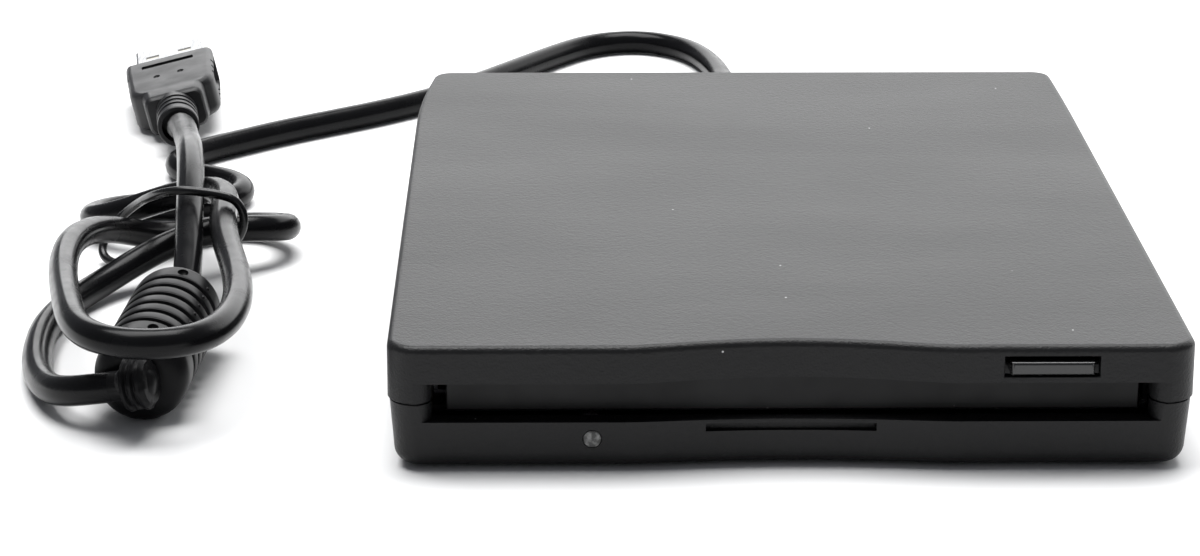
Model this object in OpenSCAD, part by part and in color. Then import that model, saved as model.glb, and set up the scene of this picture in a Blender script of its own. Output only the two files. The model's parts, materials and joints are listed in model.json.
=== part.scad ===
// External floppy disk drive with a captive data lead.
// Millimetres, +Z up. The origin is the middle of the housing's footprint,
// on the surface that the feet stand on. The slot faces -Y.

/* [Housing] */
// Width of the housing
body_w = 103; // [100:0.5:112]
// Depth of the housing, front face to rear face
body_d = 142; // [140:0.5:156]
// Height of the top face above the table
body_h = 17; // [17:0.1:19]
// Height of the seam between the two shells
seam_z = 9.3; // [8.9:0.1:9.8]
// Wall thickness of the shells
wall = 1.5; // [1.2:0.1:1.8]
// Plan radius of the front corners
front_corner_r = 4; // [3:0.5:6]
// Plan radius of the rear corners
rear_corner_r = 3; // [2:0.5:5]
// How far the left side draws in towards the rear
rear_taper_left = 1.8; // [0:0.1:2.5]
// How far the right side draws in towards the rear
rear_taper_right = 0.3; // [0:0.1:2.5]
// Radius of the top edge
top_edge_r = 1; // [0.6:0.1:1.4]
// Radius of the bottom edge
bottom_edge_r = 2.4; // [1.5:0.1:3]
// Depth of the finger wave in the upper shell's front
wave_upper = 2.7; // [1:0.1:3]
// Depth of the finger wave in the lower shell's front
wave_lower = 1.3; // [0.5:0.1:1.6]
// Half the width of the finger wave
wave_half = 21; // [15:1:25]

/* [Disk slot] */
// Width of the solid cheek at each end of the slot
cheek_w = 5.7; // [5.4:0.1:5.9]
// Height of the slot's lower lip
slot_lo = 6.8; // [6.6:0.1:7]
// Height of the slot's upper edge
slot_hi = 12.1; // [12:0.1:12.3]
// Flare of each cheek beside the slot
cheek_flare = 2.5; // [1:0.1:3]
// Width of the thumb notch under the lip
notch_w = 21.8; // [16:0.2:26]
// Height of the thumb notch
notch_h = 1.1; // [0.8:0.1:1.3]
// Gap beside each end of the door
door_gap = 1.4; // [1.2:0.1:2]
// Thickness of the door
door_t = 1; // [0.8:0.1:1.2]
// How far the door lies behind the front face
door_back = 4.1; // [3.8:0.1:4.6]

/* [Eject button and lamp] */
// Width of the eject button
button_w = 10.6; // [8:0.1:11]
// Height of the eject button
button_h = 1.8; // [1.5:0.1:1.9]
// Middle of the eject button, to the right of centre
button_x = 32.9; // [28:0.1:34]
// How far the button stands proud of the front face
button_proud = 0.5; // [0.3:0.1:1]
// Width of the button's window
window_w = 12.1; // [11.6:0.1:14]
// Travel of the button when a disk is let in
eject_travel = 3.5; // [2.5:0.1:3.5]
// Diameter of the lamp's light pipe
lamp_d = 2.4; // [1.8:0.1:2.8]
// Middle of the lamp, to the left of centre
lamp_x = 25.4; // [20:0.1:30]

/* [Mechanism] */
// Side room of the disk in the slot
disk_room = 0.8; // [0.7:0.05:0.9]
// Side clearance of the disk in its cage
disk_clear = 0.35; // [0.3:0.05:0.5]
// Thickness of the mechanism's sheet metal
sheet_t = 0.5; // [0.4:0.05:0.6]
// Thickness of the mechanism's base plate
base_t = 0.8; // [0.6:0.05:0.9]
// Distance of the heads behind the spindle, on the outer track
head_reach = 39.5; // [39:0.1:40]
// Diameter of the spindle motor's rotor
rotor_d = 42; // [36:1:42]
// Diameter of the hub that grips the disk
hub_d = 24; // [20:0.5:26]
// Drop of the cage when a disk seats
cage_drop = 1.5; // [1.2:0.1:1.6]
// Diameter of the cage's pins
cage_pin_d = 1.2; // [1:0.1:1.4]
// Travel of the heads across the tracks
head_travel = 14.8; // [12:0.1:14.8]
// Diameter of the lead screw
screw_d = 2.4; // [2:0.1:2.6]
// Diameter of the guide rod
rod_d = 1.6; // [1.4:0.1:1.7]
// Running clearance between a pin and its hole
run_clear = 0.05; // [0.03:0.01:0.08]
// Gap kept between parts that slide past each other
slide_gap = 0.25; // [0.2:0.05:0.3]

/* [Lead and plug] */
// Diameter of the lead
lead_d = 4.1; // [3.5:0.1:4.1]
// Length of the strain relief behind the housing
relief_len = 11; // [11:0.5:11]
// Diameter of the interference filter's sleeve
filter_d = 12.7; // [11:0.1:12.7]
// Ribs' grooves round the filter's sleeve
filter_grooves = 6; // [4:1:7]
// Width of the plug's moulding
plug_w = 15.6; // [14:0.1:17]
// Height of the plug's moulding
plug_h = 7; // [6.5:0.1:8]
// Length of the plug's moulding
plug_len = 27.2; // [24:0.2:30]
// Thickness of the wire tie
tie_d = 1.3; // [1:0.1:1.3]

/* [Hidden] */
eps = 0.01;
big = 400;
$fn = 48;

// Colours, as the object shows them
case_black = [0.13, 0.13, 0.14];
door_black = [0.07, 0.07, 0.08];
gloss_black = [0.05, 0.05, 0.06];
steel = [0.72, 0.73, 0.75];
dark_steel = [0.42, 0.43, 0.45];
board_green = [0.05, 0.28, 0.14];
brass = [0.75, 0.6, 0.3];
clear_white = [0.85, 0.87, 0.9, 0.5];
cord_black = [0.08, 0.08, 0.08];

// Planes of the housing
front_y = -body_d / 2;
rear_y = body_d / 2;
foot_h = 0.4;
foot_d = 8;
foot_t = 1;
floor_z = foot_h + 1.4;
ceiling_z = body_h - wall;
skin = wall * 0.6;
taper_y = rear_y - 31;
side_x = body_w / 2 - wall;
draft = 0.5;
seam_chamfer = 0.25;
seam_v = 0.2;
arc_steps = 4;
wave_steps = 14;
taper_steps = 4;

// Disk slot and what lines up with it
slot_w = body_w - 2 * cheek_w;
disk_w = slot_w - 2 * disk_room;
door_w = slot_w - 2 * door_gap;
cheek_depth = 2.8;
cheek_steps = 8;
cheek_back = front_y + cheek_depth + 0.8;
lip_t = 0.5;
ledge_h = 1.2;
notch_depth = 1.2;
door_y = front_y + door_back;
door_shift = 0.3;
door_lo = slot_lo + 0.35;
pin_r = 0.7;
pin_reach = 1;
hinge_z = slot_hi + 1;
hinge_y = door_y + door_t / 2;
ear_t = 2;
door_spring_r = 1.2;
door_spring_wire = 0.4;

// Eject button and lamp
window_lo = slot_hi + 0.8;
window_hi = window_lo + 2.7;
button_lo = window_lo + 0.3;
button_hi = button_lo + button_h;
stem_lo = hinge_z + door_t / 2 + 0.4;
stem_in = door_y - 0.4;
lamp_z = 4.5;
lamp_r = 1.45;
pipe_hole_r = lamp_d / 2 + run_clear;
pipe_flange_r = lamp_d / 2 + 0.7;
pipe_flange_y = front_y + wall + draft;

// Rubber feet and case screws
foot_in = [11.5, 16];
foot_pos = [for (x = [-1, 1], y = [-1, 1]) [x * (body_w / 2 - foot_in[0]), y * (rear_y - foot_in[1])]];
foot_seat = foot_t - foot_h;
screw_in = [7.5, 9];
screw_pos = [for (x = [-1, 1]) [x * (body_w / 2 - screw_in[0]), rear_y - screw_in[1]]];
screw_r = 1.05;
screw_clear = 0.2;
screw_head_r = 2;
screw_head_t = 1.2;
screw_len = 10;
boss_r = 3;
boss_joint = 6;
counterbore_z = 2.6;

// Mechanism levels, from the table up
board_z = floor_z + 0.4;
board_t = 0.8;
board_top = board_z + board_t;
base_z = 4;
base_top = base_z + base_t;
shelf_top = slot_lo + 0.5;
cage_in = disk_w / 2 + disk_clear;
cage_out = cage_in + sheet_t;
cage_roof = shelf_top + 4.4;
cage_top = cage_roof + sheet_t;
shelf_w = 3;
slide_in = cage_out + slide_gap;
slide_out = slide_in + sheet_t;
frame_in = slide_out + slide_gap;
frame_t = 0.7;
frame_out = frame_in + frame_t;
slide_z = cage_top + 0.7;
slide_top = slide_z + sheet_t;
wall_top = slide_z - 0.3;
shield_z = ceiling_z - 0.8;
shield_top = shield_z + sheet_t;

// Mechanism in plan
frame_front = front_y + 13;
frame_rear = rear_y - 21;
cage_front = front_y + 12;
cage_rear = rear_y - 45;
slide_front = front_y + 16;
slide_rear = rear_y - 50;
head_y = cage_rear - 4.5;
spindle_y = head_y - head_reach;
arm_window = 9.5;
window_front = head_y - 6.5 - head_travel - 2;

// Pins of the cage and the slots that guide them
pin_y = [front_y + 26, rear_y - 60];
pin_z = shelf_top + 1.3;
cage_pin_r = cage_pin_d / 2;
slot_r = cage_pin_r + run_clear;
wall_window = (pin_y[1] - pin_y[0] - 28) / 2;
slot_wall = 1.6;

// Pillars that carry the board and the frame
pillar_x = body_w / 2 - 15.5;
pillar_pos = [for (x = [-pillar_x, pillar_x], y = [front_y + 21, rear_y - 25]) [x, y]];
pillar_r = 2;
pillar_foot_r = 3;
frame_screw_r = 0.9;
frame_screw_head_r = 1.7;
frame_screw_head_t = 0.8;

// Spindle
rotor_r = rotor_d / 2;
rotor_t = 0.7;
rotor_z = base_top;
rotor_top = rotor_z + rotor_t;
hub_top = rotor_top + 0.7;
spindle_top = hub_top + 0.9;
shaft_r = 1.5;
bearing_r = 3;
bearing_flange_r = 6;
bearing_flange_top = board_top + 0.4;
bearing_top = rotor_z - 0.1;
stator_top = bearing_flange_top + 1;
stator_r = rotor_r - 2;
teeth = 9;
drive_pin_r = 1.3;
drive_pin_at = 9.5;
rotor_gap = 0.7;

// Heads, carriage, guide rod and lead screw
head_half = 3;
head_top = shelf_top - 0.1;
carriage_w = 16;
carriage_z = base_z - 0.3;
carriage_top = base_z + 1.4;
riser_y = cage_rear + head_travel + 0.7;
carriage_rear = riser_y + 4.5;
riser_top = cage_roof - 1.7;
ear_top = slide_top;
arm_z = cage_roof + 0.3;
arm_top = arm_z + 1;
arm_half = 5.2;
arm_pivot = [riser_y + 2.5, arm_z + 0.2];
arm_pin_r = 0.8;
arm_front = head_y - 6.5;
rod_r = rod_d / 2;
rod_x = -12;
rod_z = base_z + 0.4;
rod_front = rear_y - 59.5;
rod_rear = frame_rear - 0.8;
rod_block = 2.4;
sleeve_r = rod_r + 0.45;
sleeve_front = rod_front + rod_block + head_travel + 1;
sleeve_rear = sleeve_front + 14;
screw_x = 14;
screw_z = base_top + 4.4;
lead_screw_r = screw_d / 2;
nut_y = riser_y + 1.2;
nut_t = 2;
nut_r = 2.6;
tip_front = cage_rear + 0.4;
tip_rear = tip_front + 1.4;
motor_r = 5;
motor_len = 10;
motor_bore = 8;
bracket_t = 0.8;

// Latch lever, at its post behind the cage
post = [-30, rear_y - 35];
post_r = 1.2;
post_step_r = 2;
lever_z = shelf_top + 0.7;
lever_t = 1;
lever_hub_r = 2.5;
lever_hub_lo = lever_z - 0.8;
lever_root = 1.3;
finger_tip = [10, -17];
finger_r = 1.2;
nose_tip = [-9.2, -6];
nose_r = 0.9;
nose_short = 1.6;
nose_size = [2.4, 0.8];
tongue_x = -41;
tongue_w = 2;
tongue_y = cage_rear + 4.5;
latch_gap = 0.3;

// Springs that pull the slide plate forward
spring_x = [-24, 24];
spring_r = 0.5;
spring_z = slide_top + 0.65;
spring_front = slide_front + 15;
spring_rear = slide_front + 43;
prong_w = 0.5;

// Boards and sockets at the rear
board_front = front_y + 6.6;
board_rear = frame_rear - 3;
interface_z = base_top - 0.6;
interface_top = interface_z + board_t;
interface_lo = [-34, frame_rear + 1];
interface_hi = [6, rear_y - 5];
post_pos = [for (x = [-31, 3], y = [frame_rear + 4, rear_y - 8]) [x, y]];
gland_z = 8.6;
gland_r = 3;
gland_flange_r = 4.4;
relief_r0 = 3.9;
relief_r1 = 2.7;
socket_rear = rear_y - 7.5;
cable_x = [-31, -15.5];
cable_t = 0.3;
board_half = body_w / 2 - 9.5;
switch_x = [4 - board_half, board_half - 4];
switch_y = rear_y - 52;

// Route of the lead: control points of a uniform cubic spline, in
// millimetres, with y counted from the housing's front face
lead_route = [
  [0, 153, 8.6], [0, 157, 8.6], [0, 161.5, 7.7], [0, 168.5, 5.1], [0.4, 177, 2.3], [0.6, 187, 2.1],
  [0.2, 197, 2.1], [-1.4, 207, 2.1], [-4.5, 217.5, 2.1], [-13, 225, 2.1], [-23, 222, 2.1],
  [-29, 214, 2.1], [-35, 205, 2.1], [-42, 194, 2.1], [-51, 181, 2.1], [-63, 170, 2.1],
  [-75, 161, 2.1], [-83.2, 152.8, 2.1]];
hank_route = [
  [-90, 146.2, 2.1], [-92.8, 139.4, 2.1], [-89.8, 133, 2.1], [-82.6, 129.8, 2.1],
  [-79, 123.6, 2.1], [-81.6, 117.2, 2.1], [-87.6, 114.8, 2.1], [-93.5, 115.4, 2.1],
  [-99.9, 112.9, 2.2], [-102.6, 106.4, 2.8], [-99.9, 100, 4.5], [-93.8, 97.4, 6.9],
  [-87.4, 97.9, 9.1], [-81.6, 94.8, 10.8], [-79, 88, 11.5], [-79, 79, 11.6],
  [-77.9, 68, 11.3], [-75.6, 56, 11.4], [-73.6, 43, 11.9], [-72.8, 31, 12.6],
  [-73.8, 20.5, 13], [-77.4, 13.4, 13.4], [-83.8, 10.6, 13.8], [-90, 13.6, 13.8],
  [-93.4, 20.4, 13.4], [-95.4, 30, 12.8], [-97.2, 40, 12], [-98.8, 50, 11.4],
  [-99.8, 59.5, 11], [-100, 69, 10.4], [-98.8, 79, 9], [-95.6, 87.4, 6.6],
  [-90.8, 93.6, 3.4], [-85.6, 100, 2.1], [-79.2, 104.4, 2.1], [-72.6, 102, 2.7],
  [-69.8, 95.6, 4.4], [-72.6, 89.1, 6.1], [-79, 86.6, 6.9], [-85.8, 83.6, 6.3],
  [-91.5, 78.8, 4.4], [-96.8, 72.2, 2.5], [-100.6, 64, 2.1], [-102.2, 55, 2.1],
  [-102.1, 46, 2.1], [-101.2, 37, 2.1], [-99.2, 28.5, 2.5], [-96.2, 21.2, 3.8],
  [-91.6, 17.6, 5.4], [-88.2, 16.8, 6.1]];
tail_route = [
  [-82.8, 51, 6.35], [-82.5, 55, 6.35], [-82.5, 60, 7.5], [-82.9, 67.5, 9.7],
  [-83.6, 76, 11.9], [-84.2, 85, 13.8], [-85, 94, 14.9], [-86, 103, 14.8],
  [-87.1, 112, 13.3], [-88.3, 121, 11.4], [-89.4, 130, 9.9], [-90.7, 139, 8.6],
  [-91.8, 144.9, 7.4], [-92.4, 148.3, 5.8], [-92.7, 150.8, 5.3]];
tie_route = [
  [-78.2, 77, 6.6], [-76.2, 77, 8.4], [-75.4, 77, 11.2], [-76.4, 77, 14.1], [-79.2, 77, 14.9],
  [-82, 77, 15.3], [-84.9, 77.3, 15.6], [-88, 79, 14.6], [-90.4, 83.5, 12.6], [-92, 88.5, 10.6],
  [-94.5, 92.6, 8], [-98, 93.2, 4.6], [-99, 91, 1.3], [-96.4, 88, 0.9], [-93.4, 86, 1.1]];
lead_sides = 8;
hank_sides = 6;
ring_steps = 2;

// Pieces on the lead, with y counted from the housing's front face
collar_pos = hank_route[len(hank_route) - 1];
collar_way = unit(hank_route[len(hank_route) - 2] - collar_pos);
neck_r = 3.2;
elbow_pos = collar_pos - (neck_r + 0.1) * collar_way;
filter_near = [-84.95, 18.6, 6.35];
filter_far = [-82.8, 51, 6.35];
filter_r = filter_d / 2;
filter_round = 3;
band_w = 5;
groove_w = 1;
groove_depth = 0.5;
core_r = 4.8;
plug_pos = [-95.7, 174, 5.3];
plug_roll = 12.8;
plug_yaw = 7.2;
plug_relief = 9.5;
plug_mouth_r = 3.5;
plug_round = 1.6;
plug_shell_size = [12, 12, 4.5];
plug_sheet = 0.3;

// ---------------------------------------------------------------- outlines

// Depth of the finger wave, as a share, at a share t of its half width
function wave_shape(t) = pow(max(0, 1 - t * t), 1.5);

// Points of an arc of the housing's plan
function arc_points(cx, cy, r, from, to, steps) =
  [for (i = [0 : steps]) let (a = from + (to - from) * i / steps)
    [cx + r * cos(a), cy + r * sin(a)]];

// Plan of the housing, drawn in by an inset, with a finger wave in front. It
// starts at the rear, from where every other point is in plain view.
function plan(inset, wave) =
  let (
    w = body_w / 2,
    rf = front_corner_r,
    rr = rear_corner_r,
    left = w - rear_taper_left,
    right = w - rear_taper_right,
    run = rear_y - rr - taper_y
  )
  concat(
    arc_points(-left + rr, rear_y - rr, rr - inset, 90, 180, arc_steps),
    [for (i = [taper_steps - 1 : -1 : 0]) let (t = i / taper_steps)
      [-w + inset + rear_taper_left * t * t, taper_y + run * t]],
    arc_points(-w + rf, front_y + rf, rf - inset, 180, 270, arc_steps),
    [for (i = [0 : wave_steps]) let (t = -1 + 2 * i / wave_steps)
      [wave_half * t, front_y + inset + wave * wave_shape(t)]],
    arc_points(w - rf, front_y + rf, rf - inset, 270, 360, arc_steps),
    [for (i = [0 : taper_steps - 1]) let (t = i / taper_steps)
      [w - inset - rear_taper_right * t * t, taper_y + run * t]],
    arc_points(right - rr, rear_y - rr, rr - inset, 0, 90, arc_steps)
  );

// A closed solid lofted through levels of [height, inset, wave depth]
module plan_loft(levels) {
  rings = [for (l = levels) [for (p = plan(l[1], l[2])) [p[0], p[1], l[0]]]];
  n = len(rings[0]);
  m = len(rings);
  polyhedron(
    points = [for (r = rings) for (p = r) p],
    faces = concat(
      [[for (i = [0 : n - 1]) i]],
      [[for (i = [n - 1 : -1 : 0]) (m - 1) * n + i]],
      [for (j = [0 : m - 2]) for (i = [0 : n - 1]) let (k = (i + 1) % n)
        each [[j * n + i, (j + 1) * n + k, j * n + k],
              [j * n + i, (j + 1) * n + i, (j + 1) * n + k]]]
    )
  );
}

// ---------------------------------------------------------------- sweeps

// A point of a uniform cubic spline between controls b and c
function spline_point(a, b, c, d, t) =
  (pow(1 - t, 3) * a + (3 * pow(t, 3) - 6 * t * t + 4) * b
    + (-3 * pow(t, 3) + 3 * t * t + 3 * t + 1) * c + pow(t, 3) * d) / 6;

// Points along a whole route, with its two ends met exactly
function spline(route, steps) =
  let (
    n = len(route),
    p = concat([2 * route[0] - route[1]], route, [2 * route[n - 1] - route[n - 2]])
  )
  concat(
    [for (i = [1 : n - 1]) for (s = [0 : steps - 1])
      spline_point(p[i - 1], p[i], p[i + 1], p[i + 2], s / steps)],
    [route[n - 1]]
  );

function unit(v) = v / norm(v);

// Direction of a path at one of its points
function heading(path, i) =
  unit(path[min(i + 1, len(path) - 1)] - path[max(i - 1, 0)]);

// Moves a route from the front face's frame to the part's frame
function placed(route) = [for (p = route) [p[0], p[1] + front_y, p[2]]];

// A round tube swept along a path that never points straight up. Its end
// faces are square to the ways given.
module sweep(path, d, sides, way_in, way_out) {
  n = len(path);
  rings = [for (i = [0 : n - 1])
    let (
      t = i == 0 ? unit(way_in) : i == n - 1 ? unit(way_out) : heading(path, i),
      s = unit(cross(t, [0, 0, 1])),
      u = cross(s, t)
    )
    [for (k = [0 : sides - 1]) let (a = 360 * (k + 0.5) / sides)
      path[i] + d / 2 * (cos(a) * s + sin(a) * u)]];
  polyhedron(
    points = [for (r = rings) for (p = r) p],
    faces = concat(
      [[for (k = [sides - 1 : -1 : 0]) k]],
      [[for (k = [0 : sides - 1]) (n - 1) * sides + k]],
      [for (j = [0 : n - 2]) for (k = [0 : sides - 1]) let (q = (k + 1) % sides)
        each [[j * sides + k, j * sides + q, (j + 1) * sides + q],
              [j * sides + k, (j + 1) * sides + q, (j + 1) * sides + k]]]
    )
  );
}

// ---------------------------------------------------------------- helpers

// A cylinder along Y, from y0 to y1
module rod_y(x, z, y0, y1, r) {
  translate([x, y0, z]) rotate([-90, 0, 0]) cylinder(h = y1 - y0, r = r);
}

// A cylinder along X, from x0 to x1
module rod_x(y, z, x0, x1, r) {
  translate([x0, y, z]) rotate([0, 90, 0]) cylinder(h = x1 - x0, r = r);
}

// A box from its low corner to its high corner
module block(lo, hi) {
  translate(lo) cube(hi - lo);
}

// A rectangle with round corners, extruded upwards
module rounded_plate(x0, x1, y0, y1, z0, z1, r) {
  translate([0, 0, z0]) linear_extrude(z1 - z0) {
    for (x = [x0 + r, x1 - r], y = [y0 + r, y1 - r]) translate([x, y]) circle(r, $fn = 32);
    translate([x0 + r, y0]) square([x1 - x0 - 2 * r, y1 - y0]);
    translate([x0, y0 + r]) square([x1 - x0, y1 - y0 - 2 * r]);
  }
}

// ---------------------------------------------------------------- housing

// Levels of a rounded edge, from its side to its flat: [height, inset, wave]
function edge_levels(z, r, inset, wave, up) =
  [for (i = [0 : arc_steps]) let (a = 90 * i / arc_steps)
    [z + up * r * sin(a), inset + r * (1 - cos(a)), wave]];

// What the slot takes out of the front, with its scooped cheeks
module slot_cut() {
  half = slot_w / 2;
  side = concat(
    [[half + cheek_flare, front_y - 1]],
    [for (i = [0 : cheek_steps]) let (a = 90 * i / cheek_steps)
      [half + cheek_flare * cos(a), front_y + cheek_depth * sin(a)]],
    [[half, cheek_back + 2]]
  );
  translate([0, 0, slot_lo]) linear_extrude(slot_hi - slot_lo)
    polygon(concat(side, [for (i = [len(side) - 1 : -1 : 0]) [-side[i][0], side[i][1]]]));
}

// What of a piece lies inside the housing's skin, at an inset from it
module within(inset, wave, z0, z1) {
  intersection() {
    plan_loft([[z0 - 1, inset, wave], [z1 + 1, inset, wave]]);
    union() children();
  }
}

// Solid stock beside the slot, from one height to another
module cheek_stock(z0, z1) {
  for (s = [0, 1]) mirror([s, 0, 0])
    block([slot_w / 2, front_y, z0], [body_w / 2, cheek_back, z1]);
}

module upper_shell() {
  color(case_black) difference() {
    union() {
      difference() {
        plan_loft(concat(
          [[seam_z, seam_chamfer, wave_upper], [seam_z + seam_v, 0, wave_upper]],
          edge_levels(body_h - top_edge_r, top_edge_r, 0, wave_upper, 1)
        ));
        plan_loft([
          [seam_z - 1, wall, wave_upper - 0.4],
          [ceiling_z, wall, wave_upper - 0.4]
        ]);
      }
      within(skin, wave_upper, seam_z, ceiling_z) cheek_stock(seam_z, ceiling_z + eps);
      for (s = [0, 1]) mirror([s, 0, 0])
        block([slot_w / 2, cheek_back - eps, hinge_z - 1.4],
          [slot_w / 2 + ear_t, hinge_y + 1.4, ceiling_z + eps]);
      for (p = screw_pos) translate([p[0], p[1], boss_joint])
        cylinder(h = ceiling_z + eps - boss_joint, r = boss_r);
    }
    slot_cut();
    block([button_x - window_w / 2, front_y - 1, window_lo],
      [button_x + window_w / 2, front_y + wall + 0.2, window_hi]);
    for (s = [0, 1]) mirror([s, 0, 0])
      rod_x(hinge_y, hinge_z, slot_w / 2 - 1, slot_w / 2 + ear_t - 0.4, pin_r + run_clear);
    for (p = screw_pos) translate([p[0], p[1], boss_joint - 1])
      cylinder(h = counterbore_z + screw_len + 0.4 - boss_joint + 1, r = screw_r);
    rod_y(0, gland_z, rear_y - 4, rear_y + 1, gland_r);
  }
}

module lower_shell() {
  low = seam_chamfer + draft;
  color(case_black) difference() {
    union() {
      difference() {
        plan_loft(concat(
          [for (l = [arc_steps : -1 : 0])
            edge_levels(foot_h + bottom_edge_r, bottom_edge_r, low, wave_lower, -1)[l]],
          [[seam_z - seam_v, seam_chamfer, wave_lower],
            [seam_z, seam_chamfer + seam_v, wave_lower]]
        ));
        plan_loft([
          [floor_z, wall + draft, wave_lower],
          [seam_z + 1, wall + draft, wave_lower]
        ]);
      }
      seam_lip();
      within(skin + draft, wave_lower, floor_z, seam_z) {
        cheek_stock(floor_z - eps, seam_z);
        block([-slot_w / 2 - eps, front_y, slot_lo - ledge_h],
          [slot_w / 2 + eps, cheek_back, slot_lo]);
        block([-notch_w / 2 - 1, front_y, floor_z - eps], [notch_w / 2 + 1, cheek_back, slot_lo]);
      }
      for (p = screw_pos) translate([p[0], p[1], floor_z - eps])
        cylinder(h = boss_joint - floor_z + eps, r = boss_r);
      for (p = pillar_pos) translate([p[0], p[1], floor_z - eps]) {
        cylinder(h = board_z - floor_z + eps, r = pillar_foot_r);
        cylinder(h = base_z - floor_z + eps, r = pillar_r);
      }
      for (p = post_pos) translate([p[0], p[1], floor_z - eps])
        cylinder(h = interface_z - floor_z + eps, r = pillar_r);
    }
    slot_cut();
    block([-notch_w / 2, front_y - 1, slot_lo - lip_t - notch_h],
      [notch_w / 2, front_y + wave_lower + notch_depth, slot_lo - lip_t]);
    rod_y(-lamp_x, lamp_z, front_y - 1, cheek_back + 1, pipe_hole_r);
    rod_y(-lamp_x, lamp_z, pipe_flange_y, cheek_back + 1, pipe_flange_r + run_clear);
    for (p = foot_pos) translate([p[0], p[1], 0])
      cylinder(h = foot_t, r = foot_d / 2);
    for (p = screw_pos) translate([p[0], p[1], 0]) {
      cylinder(h = counterbore_z, r = screw_head_r + screw_clear);
      cylinder(h = boss_joint + 1, r = screw_r + screw_clear);
    }
    for (p = pillar_pos) translate([p[0], p[1], floor_z])
      cylinder(h = base_z, r = frame_screw_r);
    rod_y(0, gland_z, rear_y - 4, rear_y + 1, gland_r);
  }
}

// Tongue of the lower shell, which reaches up inside the upper one
module seam_lip() {
  clear = 0.1;
  difference() {
    plan_loft([[seam_z - 1, wall + clear, 0], [seam_z + 0.8, wall + clear, 0]]);
    plan_loft([[seam_z - 2, wall + draft + 0.3, 0], [seam_z + 2, wall + draft + 0.3, 0]]);
    block([-body_w, front_y - 1, seam_z - 2], [body_w, frame_front, seam_z + 2]);
    block([-boss_r * 2, rear_y - 5, seam_z - 2], [boss_r * 2, rear_y, seam_z + 2]);
  }
}

module rubber_feet() {
  color(door_black) for (p = foot_pos) translate([p[0], p[1], 0])
    cylinder(h = foot_t, r = foot_d / 2 - 0.1);
}

module case_screws() {
  color(dark_steel) for (p = screw_pos) translate([p[0], p[1], 0]) difference() {
    union() {
      translate([0, 0, counterbore_z - screw_head_t])
        cylinder(h = screw_head_t, r = screw_head_r);
      translate([0, 0, counterbore_z - eps]) cylinder(h = screw_len, r = screw_r);
    }
    translate([-1.5, -0.25, counterbore_z - screw_head_t - eps]) cube([3, 0.5, 0.6]);
    translate([-0.25, -1.5, counterbore_z - screw_head_t - eps]) cube([0.5, 3, 0.6]);
  }
}

module light_pipe() {
  color(clear_white) {
    rod_y(-lamp_x, lamp_z, front_y + 0.5, board_front - 2.2, lamp_d / 2);
    rod_y(-lamp_x, lamp_z, pipe_flange_y, pipe_flange_y + 0.8, pipe_flange_r);
  }
}

module activity_lamp() {
  color(clear_white) {
    rod_y(-lamp_x, lamp_z, board_front - 2, board_front + 1, lamp_r);
    block([-lamp_x - lamp_r, board_front, board_top], [-lamp_x + lamp_r, board_front + 1, lamp_z]);
  }
}

module slot_door() {
  end = door_w / 2;
  color(door_black) {
    block([door_shift - end, door_y, door_lo], [door_shift + end, door_y + door_t, hinge_z]);
    rod_x(hinge_y, hinge_z, door_shift - end, door_shift + end, door_t / 2);
    for (s = [-1, 1]) {
      outer = s * (slot_w / 2 + pin_reach);
      inner = door_shift + s * (end - 0.1);
      rod_x(hinge_y, hinge_z, min(inner, outer), max(inner, outer), pin_r);
    }
    block([door_shift - end, door_y + door_t - eps, door_lo],
      [door_shift + end, door_y + door_t + 0.4, door_lo + 0.7]);
  }
}

// A wire coil about +Z, standing on its base
module coil(r, wire, turns, pitch) {
  steps = 10;
  path = [for (i = [0 : turns * steps]) let (a = 360 * i / steps)
    [r * cos(a), r * sin(a), wire / 2 + pitch * i / steps]];
  last = len(path) - 1;
  sweep(path, wire, 6, path[1] - path[0], path[last] - path[last - 1]);
}

module door_spring() {
  color(steel) translate([-slot_w / 2 + 0.05, hinge_y, hinge_z]) rotate([0, 90, 0])
    coil(door_spring_r - door_spring_wire / 2, door_spring_wire, 2.5, door_spring_wire + 0.05);
}

module eject_button() {
  x0 = button_x - button_w / 2;
  x1 = button_x + button_w / 2;
  face = front_y - button_proud;
  color(case_black) {
    difference() {
      block([x0, face, button_lo], [x1, stem_in, button_hi]);
      for (s = [0, 1]) translate([s == 0 ? x0 : x1, face, button_lo - 1])
        rotate([0, 0, 45]) cube([0.7, 0.7, 2 * button_h + 2], center = true);
      for (z = [button_lo, button_hi]) translate([button_x, face, z])
        rotate([45, 0, 0]) cube([button_w + 2, 0.6, 0.6], center = true);
    }
    block([x0 + 1, stem_in - eps, stem_lo], [x1 - 1, slide_front + 1.5, button_hi]);
    block([x0 + 1, slide_front, slide_top], [x1 - 1, slide_front + 1.5, stem_lo + eps]);
  }
}

// ---------------------------------------------------------------- mechanism

// A slot's outline: two round ends joined by a straight run
module slot_shape(a, b, r) {
  d = b - a;
  translate(a) circle(r);
  translate(b) circle(r);
  translate(a) rotate(atan2(d[1], d[0])) translate([0, -r]) square([norm(d), 2 * r]);
}

// An outline drawn in y and z, extruded along x from x0 to x1
module side_plate(x0, x1) {
  translate([x0, 0, 0]) rotate([90, 0, 90]) linear_extrude(x1 - x0) children();
}

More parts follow.
